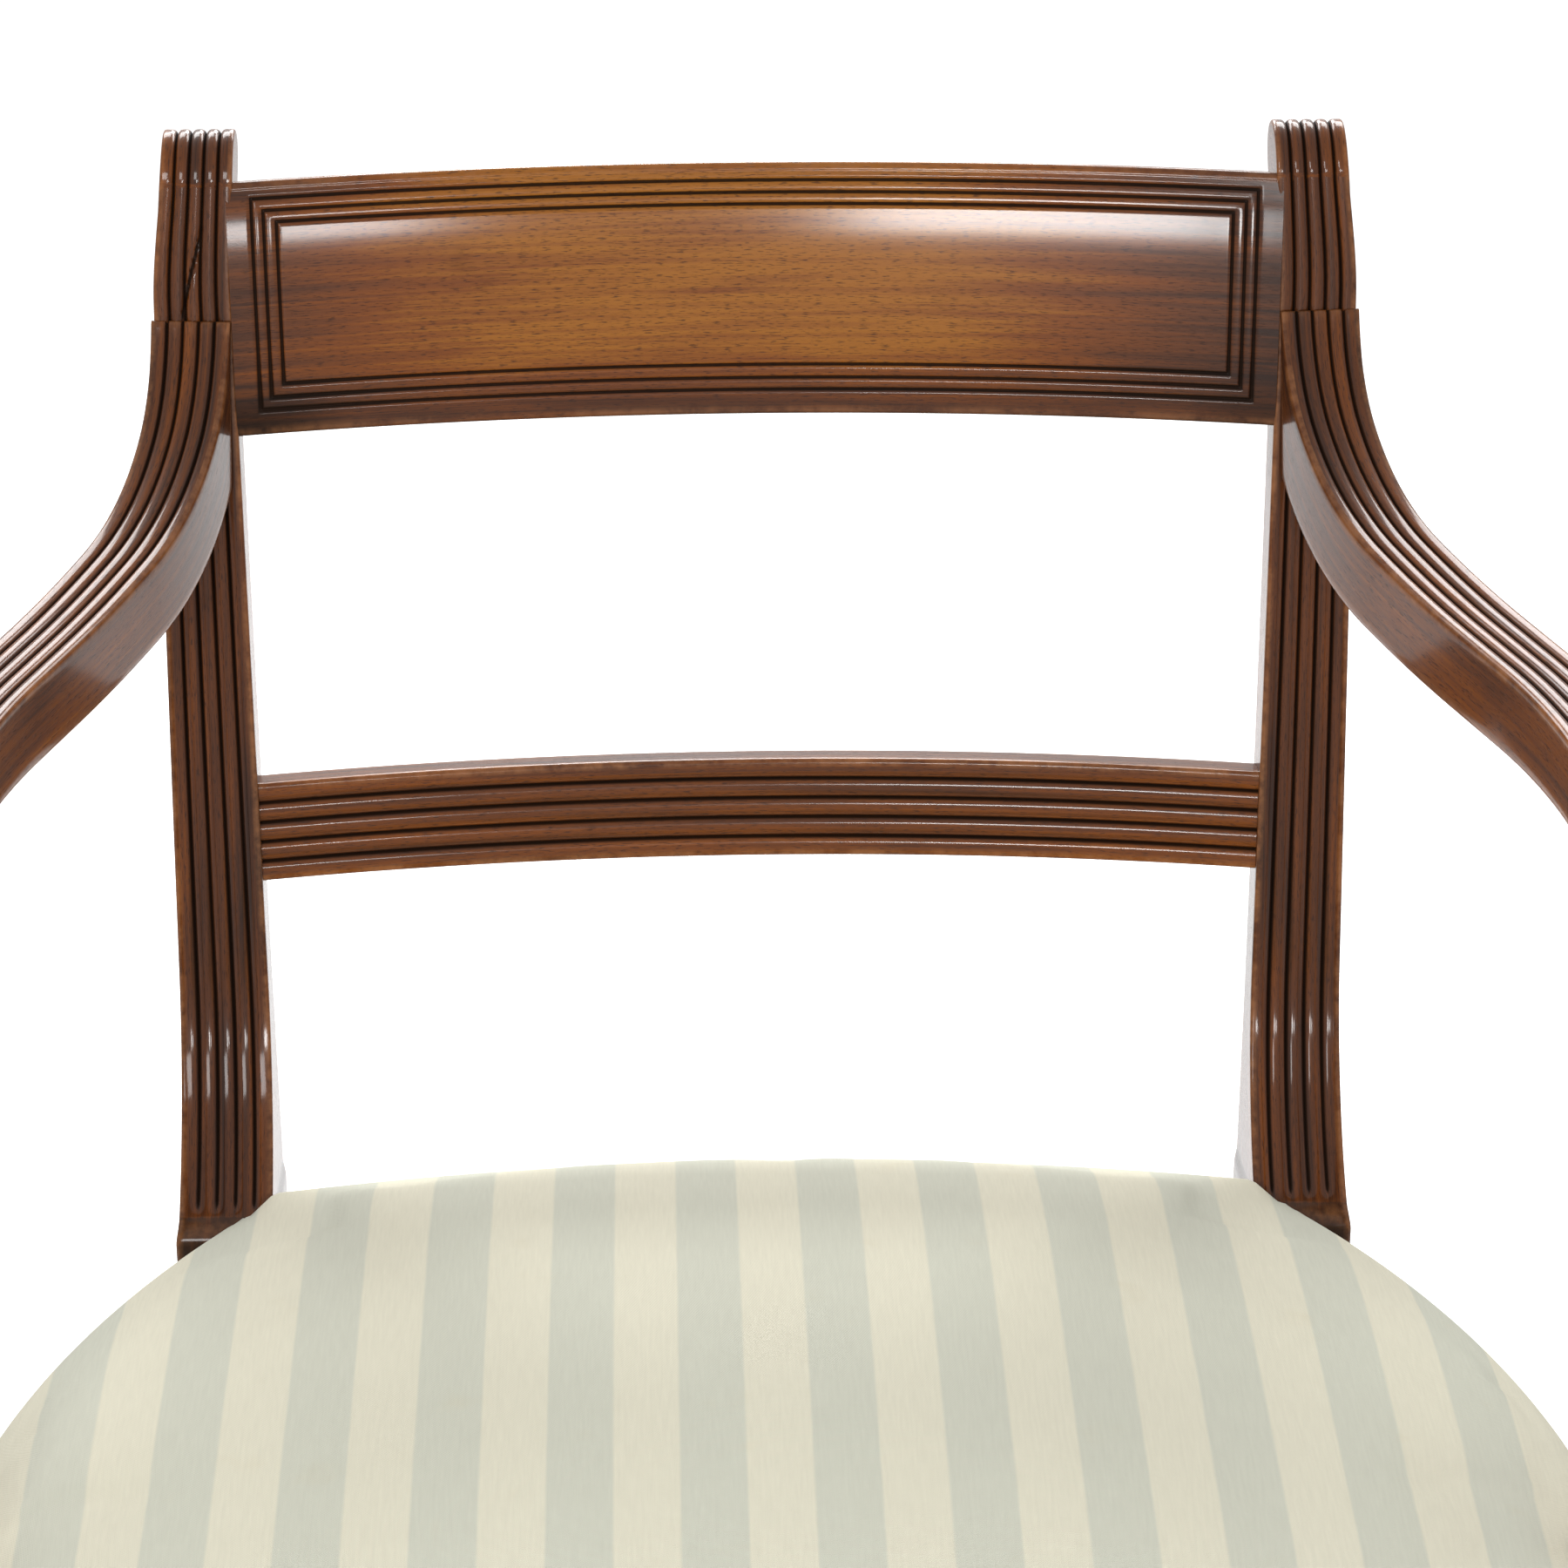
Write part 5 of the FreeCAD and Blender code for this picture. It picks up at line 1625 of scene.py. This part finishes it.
@dataclass(frozen=True)
class Studio:
    """White studio: soft lamps, a pale floor that keeps the shadow, and the photograph's camera."""

    camera_at: Place = (-0.0376, -1.5495, 1.4742)
    camera_turn: Place = (63.0, 0.0, -1.53)
    lens: float = 120.0
    ambient: float = 0.5
    floor_reach: float = 30.0
    floor_glow: Pair = (0.05, 0.57)
    glow_from: Pair = (0.16, 0.6)

    def camera(self) -> None:
        """Set up the camera at the photograph's viewing angle."""
        data = bpy.data.cameras.new("camera")
        data.lens, data.sensor_width = self.lens, 36.0
        data.clip_start, data.clip_end = 0.01, 100.0
        camera = bpy.data.objects.new("camera", data)
        camera.location = self.camera_at
        camera.rotation_euler = [math.radians(turn) for turn in self.camera_turn]
        bpy.context.scene.collection.objects.link(camera)
        bpy.context.scene.camera = camera

    def lamp(self, name: str, place: Place, aim: Place, size: float, watts: float) -> None:
        """Add one square soft lamp.

        Args:
            name: its name.
            place: where it stands.
            aim: the point it shines at.
            size: length of its side, in metres.
            watts: its power.
        """
        data = bpy.data.lights.new(name, "AREA")
        data.size, data.energy = size, watts
        lamp = bpy.data.objects.new(name, data)
        lamp.location = place
        lamp.rotation_euler = (Vector(aim) - lamp.location).to_track_quat("-Z", "Y").to_euler()
        bpy.context.scene.collection.objects.link(lamp)

    def world(self) -> None:
        """White surroundings for what the camera and reflections see, softer light for the rest."""
        world = bpy.data.worlds.new("studio")
        bpy.context.scene.world = world
        world.use_nodes = True
        w = Wires(world.node_tree)
        shell = world.node_tree.nodes["Background"]
        shell.inputs["Color"].default_value = (1, 1, 1, 1)
        w.feed(shell.inputs["Strength"], w.math("MULTIPLY_ADD", w.seen(), 1 - self.ambient, self.ambient))

    def floor(self) -> None:
        """Lay a wide pale floor that glows away from the chair, so that only the shadow stays grey."""
        ends = np.array([-self.floor_reach, self.floor_reach])
        x, y = np.meshgrid(ends, ends, indexing="ij")
        mesh = bpy.data.meshes.new("floor")
        mesh.from_pydata(column(x, y, -0.0005).reshape(-1, 3).tolist(), [], [[0, 2, 3, 1]])
        floor = bpy.data.objects.new("floor", mesh)
        bpy.context.scene.collection.objects.link(floor)
        paint = bpy.data.materials.new("floor_paint")
        paint.use_nodes = True
        w = Wires(paint.node_tree)
        shader = paint.node_tree.nodes["Principled BSDF"]
        shader.inputs["Base Color"].default_value = (0.82, 0.82, 0.82, 1)
        shader.inputs["Roughness"].default_value = 0.9
        shader.inputs["Specular IOR Level"].default_value = 0.0
        shader.inputs["Emission Color"].default_value = (1, 1, 1, 1)
        place = w.add("SeparateXYZ", Vector=w.add("TexCoord").outputs["Object"])
        across = w.math("MULTIPLY", place.outputs["X"], place.outputs["X"])
        squared = w.math("MULTIPLY_ADD", place.outputs["Y"], place.outputs["Y"], across)
        near, more = self.floor_glow
        glow = w.math("MULTIPLY_ADD", w.between(squared, *self.glow_from), more, near)
        w.feed(shader.inputs["Emission Strength"], w.math("MULTIPLY", w.seen(), glow))
        mesh.materials.append(paint)

    def build(self) -> None:
        """Set up camera, lamps, surroundings and floor."""
        bpy.context.scene.view_settings.view_transform = "Standard"
        self.camera()
        self.world()
        self.floor()
        self.lamp("key", (-0.55, -1.75, 1.60), (0.0, 0.2, 0.72), 0.6, 18)
        self.lamp("near_left", (-0.125, -1.85, 1.09), (0.1, 0.25, 0.79), 0.22, 8)
        self.lamp("near_right", (0.31, -1.85, 1.10), (-0.16, 0.25, 0.79), 0.15, 3)
        self.lamp("far_left", (-0.60, 1.65, 1.72), (-0.28, 0.08, 0.69), 0.75, 22)
        self.lamp("far_right", (0.64, 1.65, 1.72), (0.28, 0.08, 0.69), 0.75, 22)
        self.lamp("back", (0.0, 1.70, 1.25), (0.0, 0.25, 0.6), 0.5, 13)


def dress_solids(beech: Finish, steel: Finish, plug_wood: Finish) -> None:
    """Give the kept solids their finishes.

    Args:
        beech: finish of the seat frame.
        steel: finish of screws and tacks.
        plug_wood: finish of the plugs.
    """
    rails = [f"{place}_seat_rail" for place in ("front", "back", "left", "right")]
    blocks = [f"{side}_{end}_corner_block" for side in ("left", "right") for end in ("front", "back")]
    steels = ["arm_support_screws", "corner_block_screws", "lining_tacks"]
    chosen = dict.fromkeys(rails + blocks, beech) | dict.fromkeys(steels, steel)
    chosen["arm_joint_plugs"] = plug_wood
    for name, finish in chosen.items():
        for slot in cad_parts[name].material_slots:
            slot.material = finish.material()
        LOG.info("%s: solid kept, finish %s", name, finish.slot)


def main() -> None:
    """Build the chair piece by piece and report each one."""
    logging.basicConfig(level=logging.INFO, format="%(message)s")
    Studio().build()
    mahogany = Wood("mahogany")
    plug_wood = Wood("mahogany", "plug_mahogany", grain_from=GrainFrom.OBJECT)
    beech = Wood("beech", dark=(0.30, 0.19, 0.10, 1), brown=(0.40, 0.27, 0.15, 1), red=(0.47, 0.33, 0.19, 1),
                 gold=(0.55, 0.40, 0.24, 1), grain_from=GrainFrom.OBJECT, polish=0.0)
    for side in Side:
        POST.build(side, mahogany)
        Arm().build(side, mahogany)
        ArmSupport().build(side, mahogany)
        FrontLeg().build(side, mahogany)
    CrestRail().build(mahogany)
    MidRail().build(mahogany)
    seat = Seat()
    steel = Steel("steel")
    jute = PlainCloth("jute")
    wadding = PlainCloth("stuffing", light=(0.62, 0.56, 0.44, 1), deep=(0.42, 0.36, 0.26, 1), threads=200.0)
    black = PlainCloth("lining", light=(0.045, 0.043, 0.04, 1), deep=(0.015, 0.015, 0.015, 1), threads=700.0)
    seat.webbing("seat_webbing_lengthwise", (-132.0, -44.0, 44.0, 132.0), 418.0, True, jute)
    seat.webbing("seat_webbing_crosswise", (-70.0, -140.0, -206.0, -310.0), 419.4, False, jute)
    seat.flat_cloth("seat_hessian", 421.6, 0.955, 0.0, jute)
    seat.stuffing(wadding)
    seat.cover(StripedCloth("striped_cloth"))
    seat.flat_cloth("bottom_lining", 363.2, 0.965, 3.0, black)
    ArmScrews().build(steel)
    dress_solids(beech, steel, plug_wood)


if __name__ == "__main__":
    main()
